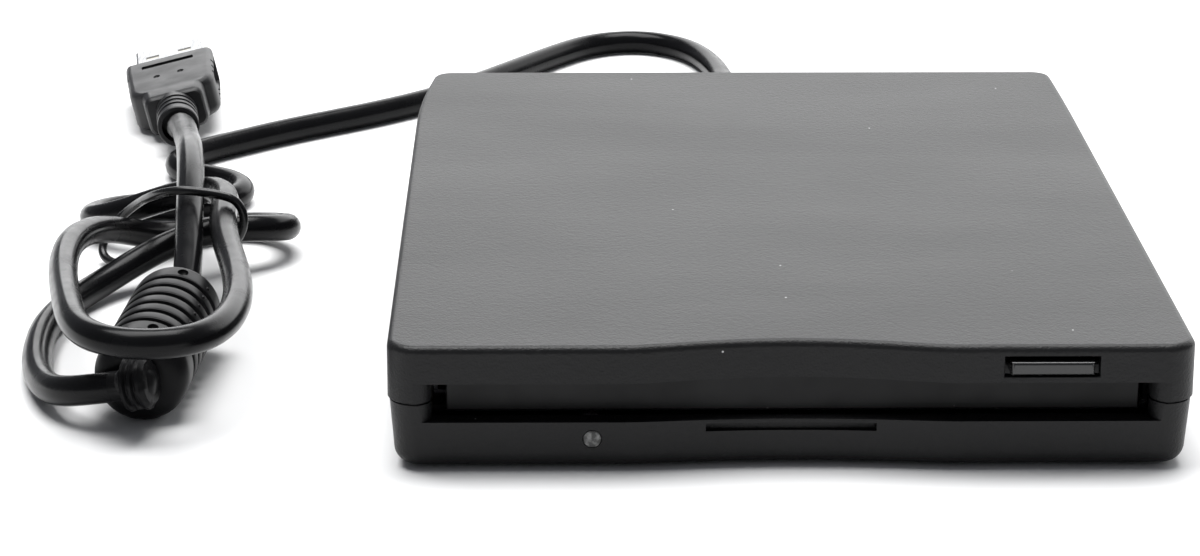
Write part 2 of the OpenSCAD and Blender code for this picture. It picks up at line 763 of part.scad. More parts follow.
module slide_plate() {
  color(steel) {
    difference() {
      block([-slide_out, slide_front, slide_z], [slide_out, slide_rear, slide_top]);
      block([-arm_window, window_front, slide_z - 1], [arm_window, slide_rear + 1, slide_top + 1]);
      translate([0, spindle_y, slide_z - 1]) cylinder(h = 3, r = hub_d / 2 - 2);
      for (x = spring_x) block([x - 6, spring_rear + 6, slide_z - 1], [x + 6, spring_rear + 22, slide_top + 1]);
    }
    for (s = [0, 1]) mirror([s, 0, 0]) difference() {
      side_plate(slide_in, slide_out) for (y = pin_y)
        translate([y - slot_wall - slot_r, pin_z - cage_drop - slot_r - slot_wall])
          square([eject_travel + 2 * (slot_wall + slot_r),
            slide_z + eps - pin_z + cage_drop + slot_r + slot_wall]);
      side_plate(slide_in - 1, slide_out + 1) for (y = pin_y)
        slot_shape([y, pin_z], [y + eject_travel, pin_z - cage_drop], slot_r);
    }
    for (x = spring_x)
      block([x - 1, spring_rear, slide_top - eps], [x + 1, spring_rear + sheet_t, spring_z + spring_r]);
    block([tongue_x, slide_rear - eps, slide_z], [tongue_x + tongue_w, tongue_y + sheet_t, slide_top]);
    block([tongue_x, tongue_y, lever_z - 0.3], [tongue_x + tongue_w, tongue_y + sheet_t, slide_z + eps]);
  }
}

module disk_cage() {
  color(steel) difference() {
    union() {
      block([-cage_out, cage_front, cage_roof], [cage_out, cage_rear, cage_top]);
      for (s = [0, 1]) mirror([s, 0, 0]) {
        block([cage_in, cage_front, shelf_top - sheet_t], [cage_out, cage_rear, cage_roof + eps]);
        block([cage_in - shelf_w, cage_front, shelf_top - sheet_t],
          [cage_in + eps, cage_rear, shelf_top]);
      }
    }
    block([-arm_window, window_front, cage_roof - 1], [arm_window, cage_rear + 1, cage_top + 1]);
    for (x = [-26, 26]) translate([x, spindle_y, cage_roof - 1]) cylinder(h = 3, r = 9);
    for (y = pin_y) rod_x(y, pin_z, -cage_out - 1, cage_out + 1, cage_pin_r);
  }
}

module cage_pins() {
  color(brass) for (y = pin_y) for (s = [0, 1]) mirror([s, 0, 0])
    rod_x(y, pin_z, cage_in, frame_out + 0.3, cage_pin_r);
}

module drive_frame() {
  color(steel) {
    difference() {
      rounded_plate(-frame_out, frame_out, frame_front, frame_rear, base_z, base_top, 1);
      translate([0, spindle_y, base_z - 1]) cylinder(h = 3, r = rotor_r + rotor_gap);
      block([-carriage_w / 2 - 1, spindle_y, base_z - 1],
        [carriage_w / 2 + 1, carriage_rear + 1.5, base_top + 1]);
      block([rod_x - sleeve_r - 0.7, rod_front + rod_block, base_z - 1],
        [0, sleeve_rear + 1.5, base_top + 1]);
      for (p = pillar_pos) translate([p[0], p[1], base_z - 1]) cylinder(h = 3, r = frame_screw_r + 0.1);
      for (x = switch_x) block([x - 2.7, switch_y - 2.7, base_z - 1], [x + 2.7, switch_y + 2.7, base_top + 1]);
      rod_y(rod_x, rod_z, rod_front, rod_rear, rod_r);
    }
    for (s = [0, 1]) mirror([s, 0, 0]) difference() {
      block([frame_in, frame_front + 1, base_z], [frame_out, frame_rear - 4, wall_top]);
      side_plate(frame_in - 1, frame_out + 1) for (y = pin_y)
        slot_shape([y, pin_z], [y, pin_z - cage_drop], slot_r);
      for (i = [0, 1]) {
        y = pin_y[0] + 12 + i * (wall_window + 8);
        block([frame_in - 1, y, base_top + 2], [frame_out + 1, y + wall_window, wall_top - 2]);
      }
    }
    for (y = [rod_front, rod_rear - rod_block]) difference() {
      block([rod_x - 2.4, y, base_z - 0.6], [rod_x + 2.4, y + rod_block, rod_z + rod_r + 0.2]);
      rod_y(rod_x, rod_z, y - 1, y + rod_block + 1, rod_r);
    }
    difference() {
      block([screw_x - 7, frame_rear - bracket_t, base_z], [screw_x + 7, frame_rear, screw_z + 4.8]);
      rod_y(screw_x, screw_z, frame_rear - 2, frame_rear + 1, lead_screw_r + 0.6);
    }
    translate([post[0], post[1], base_top - eps]) {
      cylinder(h = lever_hub_lo - base_top - 0.1, r = post_step_r);
      cylinder(h = lever_z + lever_t + 0.6 - base_top, r = post_r);
    }
  }
}

module frame_screws() {
  color(dark_steel) for (p = pillar_pos) translate([p[0], p[1], base_top]) {
    cylinder(h = frame_screw_head_t, r = frame_screw_head_r);
    translate([0, 0, floor_z + 0.3 - base_top]) cylinder(h = base_top - floor_z, r = frame_screw_r);
  }
}

module top_shield() {
  edge = frame_out + sheet_t;
  color(steel) {
    difference() {
      block([-edge, slide_front + 6, shield_z], [edge, frame_rear, shield_top]);
      for (x = [-30, 30]) translate([x, spindle_y, shield_z - 1]) cylinder(h = 3, r = 8);
      translate([0, spindle_y, shield_z - 1]) cylinder(h = 3, r = hub_d / 2);
    }
    for (s = [0, 1]) mirror([s, 0, 0]) for (y = [slide_front + 6, head_y - 12, frame_rear - 18])
      block([frame_out, y, wall_top - 2.5], [edge, y + 10, shield_z + eps]);
    for (x = spring_x) for (s = [-1, 1]) {
      at = x + s * (spring_r + 0.15 + prong_w / 2);
      block([at - prong_w / 2, spring_front, spring_z - spring_r],
        [at + prong_w / 2, spring_front + 1, shield_z + eps]);
    }
  }
}

// An arm of the lever, which narrows from the hub to a round tip
module lever_arm(tip, r) {
  side = [-unit(tip)[1], unit(tip)[0]];
  translate(tip) circle(r);
  polygon([lever_root * side, -lever_root * side, tip - 0.94 * r * side, tip + 0.94 * r * side]);
}

module latch_lever() {
  color(dark_steel) translate([post[0], post[1], 0]) difference() {
    union() {
      translate([0, 0, lever_hub_lo]) cylinder(h = lever_z + lever_t - lever_hub_lo, r = lever_hub_r);
      translate([0, 0, lever_z]) linear_extrude(lever_t) {
        lever_arm(finger_tip, finger_r);
        lever_arm(nose_tip - nose_short * unit(nose_tip), nose_r);
        nose_y = tongue_y - latch_gap - post[1];
        nose_x = tongue_x + tongue_w - latch_gap - post[0];
        translate([nose_x, nose_y - nose_size[1]]) square(nose_size);
      }
    }
    translate([0, 0, lever_hub_lo - 1]) cylinder(h = 5, r = post_r + run_clear);
  }
}

module latch_spring() {
  wire = 0.45;
  color(steel) translate([post[0], post[1], base_top])
    coil(post_step_r + 0.1 + wire / 2, wire, 3, wire + 0.05);
}

module eject_springs() {
  color(steel) for (x = spring_x) difference() {
    rod_y(x, spring_z, spring_front - 0.6, spring_rear, spring_r);
    for (y = [spring_front - 0.2, spring_rear - 1])
      block([x - 1, y, spring_z - 0.15], [x + 1, y + 0.6, spring_z + 0.15]);
  }
}

module spindle_stator() {
  mid = (bearing_flange_top + stator_top) / 2;
  color(dark_steel) translate([0, spindle_y, 0]) {
    difference() {
      translate([0, 0, bearing_flange_top]) cylinder(h = stator_top - bearing_flange_top, r = bearing_flange_r);
      translate([0, 0, bearing_flange_top - 1]) cylinder(h = 4, r = bearing_r);
    }
    for (i = [0 : teeth - 1]) rotate([0, 0, 360 * i / teeth]) {
      translate([bearing_flange_r - 0.5, -1.1, bearing_flange_top])
        cube([stator_r - 2 - bearing_flange_r + 0.5, 2.2, stator_top - bearing_flange_top]);
      translate([bearing_flange_r + 2, -1.9, board_top + 0.1])
        cube([stator_r - 5.5 - bearing_flange_r, 3.8, 2 * (mid - board_top - 0.1)]);
    }
    for (i = [0 : teeth - 1]) rotate([0, 0, 360 * i / teeth]) intersection() {
      difference() {
        translate([0, 0, bearing_flange_top]) cylinder(h = stator_top - bearing_flange_top, r = stator_r);
        translate([0, 0, bearing_flange_top - 1]) cylinder(h = 4, r = stator_r - 2);
      }
      translate([0, -5.2, 0]) cube([stator_r + 1, 10.4, 20]);
    }
  }
}

module spindle_bearing() {
  color(brass) translate([0, spindle_y, 0]) difference() {
    union() {
      translate([0, 0, floor_z + 0.1]) cylinder(h = bearing_top - floor_z - 0.1, r = bearing_r);
      translate([0, 0, board_top]) cylinder(h = bearing_flange_top - board_top, r = bearing_flange_r);
    }
    cylinder(h = 20, r = shaft_r + run_clear);
  }
}

module spindle_rotor() {
  color(steel) translate([0, spindle_y, 0]) difference() {
    union() {
      translate([0, 0, rotor_z]) cylinder(h = rotor_t, r = rotor_r);
      translate([0, 0, bearing_flange_top]) difference() {
        cylinder(h = rotor_z + eps - bearing_flange_top, r = rotor_r);
        translate([0, 0, -1]) cylinder(h = 5, r = rotor_r - 1);
      }
      translate([0, 0, rotor_top - eps]) cylinder(h = hub_top - rotor_top, r = hub_d / 2);
      translate([0, 0, floor_z + 0.2]) cylinder(h = spindle_top - floor_z - 0.2, r = shaft_r);
    }
    translate([drive_pin_at, 0, rotor_top]) cylinder(h = 3, r = drive_pin_r);
  }
}

module drive_pin() {
  color(brass) translate([drive_pin_at, spindle_y, rotor_top])
    cylinder(h = spindle_top - rotor_top, r = drive_pin_r);
}

module stepper_motor() {
  color(steel) difference() {
    union() {
      rod_y(screw_x, screw_z, frame_rear, frame_rear + motor_len, motor_r);
      block([screw_x - 6.8, frame_rear, screw_z - 2.2], [screw_x + 6.8, frame_rear + 1, screw_z + 2.2]);
    }
    rod_y(screw_x, screw_z, frame_rear - 1, frame_rear + motor_bore, lead_screw_r + run_clear);
  }
}

module lead_screw() {
  color(brass) rod_y(screw_x, screw_z, tip_front + 0.6, frame_rear + motor_bore - 0.2, lead_screw_r);
}

module screw_bearing() {
  color(door_black) difference() {
    block([screw_x - 2.4, tip_front, base_top], [screw_x + 2.4, tip_rear, screw_z + lead_screw_r + 0.8]);
    rod_y(screw_x, screw_z, tip_front + 0.4, tip_rear + 1, lead_screw_r + run_clear);
  }
}

module guide_rod() {
  color(steel) rod_y(rod_x, rod_z, rod_front, rod_rear, rod_r);
}

module head_carriage() {
  half = carriage_w / 2;
  color(door_black) difference() {
    union() {
      block([-half, head_y - head_half, carriage_z], [half, carriage_rear, carriage_top]);
      block([-half, riser_y, carriage_top - eps], [half, carriage_rear, riser_top]);
      for (s = [0, 1]) mirror([s, 0, 0])
        block([arm_half + 0.2, riser_y, riser_top - eps], [half, carriage_rear, ear_top]);
      rod_y(rod_x, rod_z, sleeve_front, sleeve_rear, sleeve_r);
      block([rod_x, sleeve_front, carriage_z + 0.3], [-half + eps, sleeve_rear, rod_z + 0.3]);
      block([half - eps, nut_y, screw_z - nut_r / 2], [screw_x, nut_y + nut_t, screw_z + nut_r / 2]);
      rod_y(screw_x, screw_z, nut_y, nut_y + nut_t, nut_r);
    }
    rod_y(rod_x, rod_z, sleeve_front - 1, sleeve_rear + 1, rod_r + run_clear);
    rod_y(screw_x, screw_z, nut_y - 1, nut_y + nut_t + 1, lead_screw_r + run_clear);
    rod_x(arm_pivot[0], arm_pivot[1], -half + 0.6, half - 0.6, arm_pin_r + run_clear);
    block([-half + 3, head_y + head_half + 3, carriage_z + 1], [half - 3, riser_y - 3, carriage_top + 1]);
  }
}

module head_arm() {
  color(door_black) {
    block([-arm_half, arm_front, arm_z], [arm_half, arm_pivot[0], arm_top]);
    rod_x(arm_pivot[0], arm_pivot[1], -arm_half, arm_half, 1.2);
    rod_x(arm_pivot[0], arm_pivot[1], -carriage_w / 2 + 0.9, carriage_w / 2 - 0.9, arm_pin_r);
    for (s = [-1, 1]) block([s * (arm_half - 0.5) - 0.5, arm_front, arm_top - eps],
      [s * (arm_half - 0.5) + 0.5, arm_pivot[0] - 2, arm_top + 0.3]);
  }
}

module lower_head() {
  color(steel) {
    block([-3.4, head_y - 2.5, carriage_top], [3.4, head_y + 2.5, head_top - 0.5]);
    block([-1.6, head_y - 1.6, head_top - 0.5 - eps], [1.6, head_y + 1.6, head_top]);
  }
}

module upper_head() {
  color(steel) {
    block([-3.4, head_y - 2.5, arm_z - 0.7], [3.4, head_y + 2.5, arm_z]);
    block([-1.6, head_y - 1.6, arm_z - 1.1], [1.6, head_y + 1.6, arm_z - 0.7 + eps]);
  }
}

// ---------------------------------------------------------------- electronics

module main_board() {
  color(board_green) difference() {
    rounded_plate(-board_half, board_half, board_front, board_rear, board_z, board_top, 1);
    for (p = pillar_pos) translate([p[0], p[1], board_z - 1]) cylinder(h = 3, r = pillar_r + 0.1);
    translate([0, spindle_y, board_z - 1]) cylinder(h = 3, r = bearing_r);
  }
}

module interface_board() {
  color(board_green)
    block([interface_lo[0], interface_lo[1], interface_z],
      [interface_hi[0], interface_hi[1], interface_top]);
}

module board_chips() {
  chip_t = 0.7;
  color(gloss_black) {
    for (c = [[-30, -32, 10], [28, -34, 8], [30, 4, 9], [-32, 6, 7]])
      block([c[0] - c[2] / 2, c[1] - c[2] / 2, board_top],
        [c[0] + c[2] / 2, c[1] + c[2] / 2, board_top + chip_t]);
    block([-19, interface_lo[1] + 4.5, interface_top], [-10, interface_lo[1] + 13.5, interface_top + 1.2]);
  }
  color(steel) block([-26, interface_lo[1] + 9, interface_top], [-22, interface_lo[1] + 14, interface_top + 3]);
}

module data_socket() {
  color("white")
    block([-4, socket_rear - 5, interface_top], [4, socket_rear, gland_z + lead_d / 2 + 0.6]);
}

module flat_cable() {
  run_y = interface_lo[1] + 2.5;
  lift_y = frame_rear + 0.35;
  color([0.9, 0.9, 0.86]) {
    block([cable_x[0], board_rear - 4, board_top], [cable_x[1], board_rear - 1, board_top + 0.7]);
    block([cable_x[0] + 1, board_rear - 1 - eps, board_top + 0.2],
      [cable_x[1] - 1, lift_y + cable_t, board_top + 0.2 + cable_t]);
    block([cable_x[0] + 1, lift_y, board_top + 0.2], [cable_x[1] - 1, lift_y + cable_t, interface_top + 0.2 + cable_t]);
    block([cable_x[0] + 1, lift_y, interface_top + 0.2], [cable_x[1] - 1, run_y, interface_top + 0.2 + cable_t]);
    block([cable_x[0], run_y - eps, interface_top], [cable_x[1], run_y + 2, interface_top + 1]);
  }
}

module disk_switches() {
  color(gloss_black) for (x = switch_x) {
    block([x - 2.5, switch_y - 2.5, board_top], [x + 2.5, switch_y + 2.5, base_top]);
    translate([x, switch_y, base_top - eps]) cylinder(h = 0.9, r = 0.8);
  }
}

// ---------------------------------------------------------------- lead

// Turns a body made along Y to lie along the line from a to b
module along(a, b) {
  d = b - a;
  translate(a) rotate([0, 0, atan2(d[1], d[0]) - 90])
    rotate([atan2(d[2], norm([d[0], d[1]])), 0, 0]) children();
}

// Tapered strain relief, with its flange and inner end
module cable_gland() {
  pitch = relief_len / 5;
  color(cord_black) {
    rod_y(0, gland_z, socket_rear, rear_y - wall - 1.2, lead_d / 2);
    rod_y(0, gland_z, rear_y - wall - 1.2 - eps, rear_y - wall - draft, gland_flange_r);
    rod_y(0, gland_z, rear_y - wall - draft - eps, rear_y + eps, gland_r - 0.05);
    translate([0, rear_y, gland_z]) rotate([-90, 0, 0]) rotate_extrude() polygon(concat(
      [[0, 0], [relief_r0, 0], [relief_r0, 1]],
      [for (i = [1 : 4]) let (y = i * pitch, r = relief_r0 + (relief_r1 - relief_r0) * y / relief_len)
        each [[r + 0.1, y - 0.9], [r - 0.6, y - 0.9], [r - 0.6, y], [r, y]]],
      [[relief_r1, relief_len], [0, relief_len]]
    ));
  }
}

whole_path = spline(placed(concat(lead_route, hank_route)), ring_steps);
split = (len(lead_route) - 1) * ring_steps;
lead_path = [for (i = [0 : split]) whole_path[i]];
hank_path = [for (i = [split : len(whole_path) - 1]) whole_path[i]];
split_way = heading(whole_path, split);
tail_path = spline(placed(tail_route), ring_steps);
filter_way = unit(filter_far - filter_near);
plug_way = [-sin(plug_yaw), cos(plug_yaw), 0];

module cord_lead() {
  color(cord_black) sweep(lead_path, lead_d, lead_sides, [0, 1, 0], split_way);
}

module cord_hank() {
  color(cord_black) sweep(hank_path, lead_d, hank_sides, split_way, -collar_way);
}

module cord_tail() {
  color(cord_black) sweep(tail_path, lead_d, lead_sides, filter_way, plug_way);
}

// Outline of the filter's sleeve, from its axis outwards
function sleeve_outline(length) =
  let (
    r = filter_r,
    c = filter_round,
    pitch = (length - 2 * band_w) / filter_grooves
  )
  concat(
    [[0, 0]],
    [for (i = [0 : 4]) let (a = 90 * i / 4) [r - c + c * sin(a), c - c * cos(a)]],
    [for (i = [0 : filter_grooves - 1]) let (y = band_w + (i + 0.5) * pitch - groove_w / 2)
      each [[r, y], [r - groove_depth, y + 0.1], [r - groove_depth, y + groove_w - 0.1],
        [r, y + groove_w]]],
    [for (i = [4 : -1 : 0]) let (a = 90 * i / 4) [r - c + c * sin(a), length - c + c * cos(a)]],
    [[0, length]]
  );

module filter_sleeve() {
  length = norm(filter_far - filter_near);
  shift = [0, front_y, 0];
  color(cord_black) difference() {
    union() {
      along(filter_near + shift, filter_far + shift) rotate([-90, 0, 0])
        rotate_extrude() polygon(sleeve_outline(length));
      translate(elbow_pos + shift) sphere(neck_r);
      along(elbow_pos + shift, collar_pos + shift)
        rod_y(0, 0, 0, norm(collar_pos - elbow_pos), neck_r);
      along(elbow_pos + shift, filter_near + 2 * filter_way + shift)
        rod_y(0, 0, 0, norm(filter_near + 2 * filter_way - elbow_pos), neck_r);
    }
    core_space();
  }
}

// Space of the filter's core inside its sleeve
module core_space() {
  length = norm(filter_far - filter_near);
  shift = [0, front_y, 0];
  along(filter_near + shift, filter_far + shift) difference() {
    rod_y(0, 0, filter_round + 0.5, length - filter_round - 0.5, core_r);
    rod_y(0, 0, filter_round, length - filter_round, lead_d / 2);
  }
}

module filter_core() {
  color(dark_steel) core_space();
}

// Frame of the plug: the middle of its moulding, with +Y towards its tip
module plug_frame() {
  translate(plug_pos + [0, front_y, 0]) rotate([0, 0, plug_yaw]) rotate([0, -plug_roll, 0]) children();
}

module plug_moulding() {
  w = plug_w / 2;
  l = plug_len / 2;
  h = plug_h / 2;
  color(cord_black) plug_frame() difference() {
    union() {
      intersection() {
        hull() for (x = [-1, 1], y = [-1, 1], z = [-1, 1])
          translate([x * (w - plug_round), y * (l - plug_round), z * (h - plug_round)])
            sphere(plug_round, $fn = 24);
        block([-w, -l, -h], [w, l - 0.4, h]);
      }
      translate([0, -l + 1, 0]) rotate([90, 0, 0]) rotate_extrude() polygon(concat(
        [[0, 0], [plug_mouth_r + 0.4, 0]],
        [for (i = [1 : 3]) let (y = 1 + i * plug_relief / 4)
          each [[plug_mouth_r, y - 1], [plug_mouth_r - 0.7, y - 1], [plug_mouth_r - 0.7, y - 0.2],
            [plug_mouth_r, y - 0.2]]],
        [[plug_mouth_r, plug_relief + 1], [0, plug_relief + 1]]
      ));
    }
    block([-w + 3, -l + 5, h - 0.4], [w - 3, l - 4, h + 1]);
    block([-plug_shell_size[0] / 2, l - 6, -plug_shell_size[2] / 2],
      [plug_shell_size[0] / 2, l + 1, plug_shell_size[2] / 2]);
    for (s = [-1, 1], i = [0 : 3])
      translate([s * w, -l + 9 + i * 3, 0]) cube([0.8, 1.2, h], center = true);
  }
}

module plug_shell() {
  a = plug_shell_size[0] / 2;
  c = plug_shell_size[2] / 2;
  y0 = plug_len / 2 - 6;
  y1 = plug_len / 2 + plug_shell_size[1];
  color(steel) plug_frame() difference() {
    block([-a, y0, -c], [a, y1, c]);
    block([-a + plug_sheet, y0 + 1, -c + plug_sheet], [a - plug_sheet, y1 + 1, c - plug_sheet]);
    for (x = [-2.9, 2.9], z = [-c, c])
      translate([x, y1 - 6.4, z]) cube([2.3, 2.3, 1.2], center = true);
  }
}

module plug_tongue() {
  a = plug_shell_size[0] / 2 - plug_sheet;
  c = plug_shell_size[2] / 2 - plug_sheet;
  y0 = plug_len / 2 - 5;
  color("white") plug_frame() {
    block([-a, y0, -c], [a, y0 + 5.5, c]);
    block([-a, y0 + 5.5 - eps, c - 1.8], [a, plug_len / 2 + plug_shell_size[1] - 0.8, c]);
  }
}

module plug_contacts() {
  c = plug_shell_size[2] / 2 - plug_sheet - 1.8;
  color(brass) plug_frame() for (x = [-3.5, -1, 1, 3.5])
    block([x - 0.5, plug_len / 2 + 0.5, c - 0.15],
      [x + 0.5, plug_len / 2 + plug_shell_size[1] - 1.6, c]);
}

module wire_tie() {
  path = spline(placed(tie_route), ring_steps);
  last = len(path) - 1;
  color(cord_black) sweep(path, tie_d, hank_sides, path[1] - path[0], path[last] - path[last - 1]);
}

// Least gap between the hank's own strands, and from the hank to the tail,
// measured from point to point of their middle lines
function least(path_a, path_b, skip) = min([for (i = [0 : len(path_a) - 1], j = [0 : len(path_b) - 1])
  skip == 0 || j > i + skip ? norm(path_a[i] - path_b[j]) : big]) - lead_d;
echo(hank_gap = least(whole_path, whole_path, 5), tail_gap = least(whole_path, tail_path, 0));

upper_shell();
lower_shell();
rubber_feet();
case_screws();
light_pipe();
activity_lamp();
slot_door();
door_spring();
eject_button();
slide_plate();
disk_cage();
cage_pins();
drive_frame();
frame_screws();
top_shield();
latch_lever();
latch_spring();
eject_springs();
spindle_stator();
spindle_bearing();
spindle_rotor();
drive_pin();
stepper_motor();
lead_screw();
screw_bearing();
guide_rod();
head_carriage();
head_arm();
lower_head();
upper_head();
main_board();
interface_board();
board_chips();
data_socket();
flat_cable();
disk_switches();
cable_gland();
cord_lead();
cord_hank();
cord_tail();
filter_sleeve();
filter_core();
wire_tie();
plug_moulding();
plug_shell();
plug_tongue();
plug_contacts();
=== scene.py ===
# %% [markdown]
# # An external floppy disk drive, dressed for its portrait
# The construction is settled before this notebook starts: the imported frame
# holds every solid at its real size and in its real place. What is left is
# the looks. Each piece that the eye meets is built again as a finer mesh, in
# the place of its solid, and every other solid gets a finish of its own.

# %% Load the frame, with a tool for the box of one part
import json
import math

import bmesh
import bpy
from mathutils import Matrix, Vector
from mathutils.noise import noise as noise_at

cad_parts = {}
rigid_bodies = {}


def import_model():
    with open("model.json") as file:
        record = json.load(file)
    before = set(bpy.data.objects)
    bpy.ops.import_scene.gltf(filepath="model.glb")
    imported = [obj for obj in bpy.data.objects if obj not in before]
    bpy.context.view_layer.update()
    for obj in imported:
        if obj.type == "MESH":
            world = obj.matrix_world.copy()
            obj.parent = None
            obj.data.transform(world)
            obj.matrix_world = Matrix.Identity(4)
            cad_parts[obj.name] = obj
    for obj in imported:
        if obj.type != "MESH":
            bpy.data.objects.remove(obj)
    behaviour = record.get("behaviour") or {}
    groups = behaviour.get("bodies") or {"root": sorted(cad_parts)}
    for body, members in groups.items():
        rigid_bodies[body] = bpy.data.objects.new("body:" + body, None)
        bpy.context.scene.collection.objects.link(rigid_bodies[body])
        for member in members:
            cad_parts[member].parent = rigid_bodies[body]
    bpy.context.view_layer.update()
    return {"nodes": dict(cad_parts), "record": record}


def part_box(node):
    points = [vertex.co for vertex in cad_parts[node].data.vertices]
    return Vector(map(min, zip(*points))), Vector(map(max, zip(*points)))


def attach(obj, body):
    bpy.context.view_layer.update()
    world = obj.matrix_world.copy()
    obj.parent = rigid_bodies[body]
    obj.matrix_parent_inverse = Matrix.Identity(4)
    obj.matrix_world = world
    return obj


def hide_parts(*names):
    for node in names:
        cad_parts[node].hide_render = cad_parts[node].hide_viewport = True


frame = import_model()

MM = 0.001

# %% [markdown]
# ## The camera
# The picture was taken from low in front with a long lens, so the far edge of
# the case is nearly as wide as the near one. The eye and its angles were found
# once by matching the four upper corners of the case. A camera is an object
# like any other: its matrix has three columns for its own right, up and
# backward directions, and a fourth for its place.

# %% Camera
EYE = Vector((-30.62, -497.47, 160.59)) * MM
YAW = math.radians(0.829)
PITCH = math.radians(17.49)
ROLL = math.radians(0.108)
FOCAL_LENGTH = 107.05
SENSOR_WIDTH = 36


def camera_axes(yaw, pitch, roll):
    """Right, up and forward of a camera that is turned, tipped down and rolled."""
    forward = Vector((
        math.sin(yaw) * math.cos(pitch), math.cos(yaw) * math.cos(pitch), -math.sin(pitch)))
    level = Vector((math.cos(yaw), -math.sin(yaw), 0))
    rise = level.cross(forward)
    right = math.cos(roll) * level + math.sin(roll) * rise
    up = math.cos(roll) * rise - math.sin(roll) * level
    return right, up, forward


right, up, forward = camera_axes(YAW, PITCH, ROLL)
camera = bpy.data.objects.new("camera", bpy.data.cameras.new("camera"))
camera.data.sensor_width = SENSOR_WIDTH
camera.data.lens = FOCAL_LENGTH
camera.data.clip_start = 0.01
turn = Matrix((right, up, -forward)).transposed().to_4x4()
camera.matrix_world = Matrix.Translation(EYE) @ turn
bpy.context.scene.collection.objects.link(camera)
bpy.context.scene.camera = camera
print("camera", round(EYE.length, 3), "m from the middle of the case")

# %% [markdown]
# ## The lead
# One soft black cord leaves the back of the case, sweeps round to the left and
# lies there in small bends and long loops, until it turns up into its filter.
# A short end runs on from the filter to the plug. A cord bends in smooth curves
# because it is springy, so a spline suits it better than a chain of straight
# bits. A uniform cubic spline passes near its points and not through them,
# which gives it the same lazy corners. One phantom point beyond each end makes
# it start and stop exactly where it should.
#
# The points are the ones that the solids follow, counted back from the front
# face of the case.

# %% Routes of the lead
FRONT_Y = -71.0
LEAD_DIAMETER = 4.1

LEAD_ROUTE = [
    (0, 153, 8.6), (0, 157, 8.6), (0, 161.5, 7.7), (0, 168.5, 5.1), (0.4, 177, 2.3), (0.6, 187, 2.1),
    (0.2, 197, 2.1), (-1.4, 207, 2.1), (-4.5, 217.5, 2.1), (-13, 225, 2.1), (-23, 222, 2.1),
    (-29, 214, 2.1), (-35, 205, 2.1), (-42, 194, 2.1), (-51, 181, 2.1), (-63, 170, 2.1),
    (-75, 161, 2.1), (-83.2, 152.8, 2.1)]
LOOP_ROUTE = [
    (-90, 146.2, 2.1), (-92.8, 139.4, 2.1), (-89.8, 133, 2.1), (-82.6, 129.8, 2.1),
    (-79, 123.6, 2.1), (-81.6, 117.2, 2.1), (-87.6, 114.8, 2.1), (-93.5, 115.4, 2.1),
    (-99.9, 112.9, 2.2), (-102.6, 106.4, 2.8), (-99.9, 100, 4.5), (-93.8, 97.4, 6.9),
    (-87.4, 97.9, 9.1), (-81.6, 94.8, 10.8), (-79, 88, 11.5), (-79, 79, 11.6),
    (-77.9, 68, 11.3), (-75.6, 56, 11.4), (-73.6, 43, 11.9), (-72.8, 31, 12.6),
    (-73.8, 20.5, 13), (-77.4, 13.4, 13.4), (-83.8, 10.6, 13.8), (-90, 13.6, 13.8),
    (-93.4, 20.4, 13.4), (-95.4, 30, 12.8), (-97.2, 40, 12), (-98.8, 50, 11.4),
    (-99.8, 59.5, 11), (-100, 69, 10.4), (-98.8, 79, 9), (-95.6, 87.4, 6.6),
    (-90.8, 93.6, 3.4), (-85.6, 100, 2.1), (-79.2, 104.4, 2.1), (-72.6, 102, 2.7),
    (-69.8, 95.6, 4.4), (-72.6, 89.1, 6.1), (-79, 86.6, 6.9), (-85.8, 83.6, 6.3),
    (-91.5, 78.8, 4.4), (-96.8, 72.2, 2.5), (-100.6, 64, 2.1), (-102.2, 55, 2.1),
    (-102.1, 46, 2.1), (-101.2, 37, 2.1), (-99.2, 28.5, 2.5), (-96.2, 21.2, 3.8),
    (-91.6, 17.6, 5.4), (-88.2, 16.8, 6.1)]
END_ROUTE = [
    (-82.8, 51, 6.35), (-82.5, 55, 6.35), (-82.5, 60, 7.5), (-82.9, 67.5, 9.7),
    (-83.6, 76, 11.9), (-84.2, 85, 13.8), (-85, 94, 14.9), (-86, 103, 14.8),
    (-87.1, 112, 13.3), (-88.3, 121, 11.4), (-89.4, 130, 9.9), (-90.7, 139, 8.6),
    (-91.8, 144.9, 7.4), (-92.4, 148.3, 5.8), (-92.7, 150.8, 5.3)]


def placed(point):
    """A point counted from the front face, in the frame's own millimetres."""
    return Vector((point[0], point[1] + FRONT_Y, point[2]))


def with_phantoms(points):
    """The points of a route, and one more beyond each of its ends."""
    return [2 * points[0] - points[1], *points, 2 * points[-1] - points[-2]]


print("points on the lead:", len(LEAD_ROUTE) + len(LOOP_ROUTE), "and on its end:", len(END_ROUTE))

# %% [markdown]
# A curve object needs no skin of its own: a round bevel gives it one, and it
# stays a curve that can still be bent. The thickness is set on the points, as
# it may change along a cord, and the bevel depth of one metre only scales it.

# %% Cords as bevelled curves
def round_cord(name, route, diameter, body, *nodes):
    """A round cord along a route, which rides on a body and stands for some nodes."""
    curve = bpy.data.curves.new(name, "CURVE")
    curve.dimensions = "3D"
    curve.bevel_depth = 1
    curve.bevel_resolution = 6
    curve.use_fill_caps = True
    spline = curve.splines.new("NURBS")
    points = with_phantoms([placed(p) for p in route])
    spline.points.add(len(points) - 1)
    for knot, point in zip(spline.points, points):
        knot.co = (*(point * MM), 1)
        knot.radius = diameter / 2 * MM
    spline.order_u = 4
    spline.use_endpoint_u = False
    spline.resolution_u = 5
    spline.use_smooth = True
    cord = bpy.data.objects.new(name, curve)
    bpy.context.scene.collection.objects.link(cord)
    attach(cord, body)
    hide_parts(*nodes)
    return cord


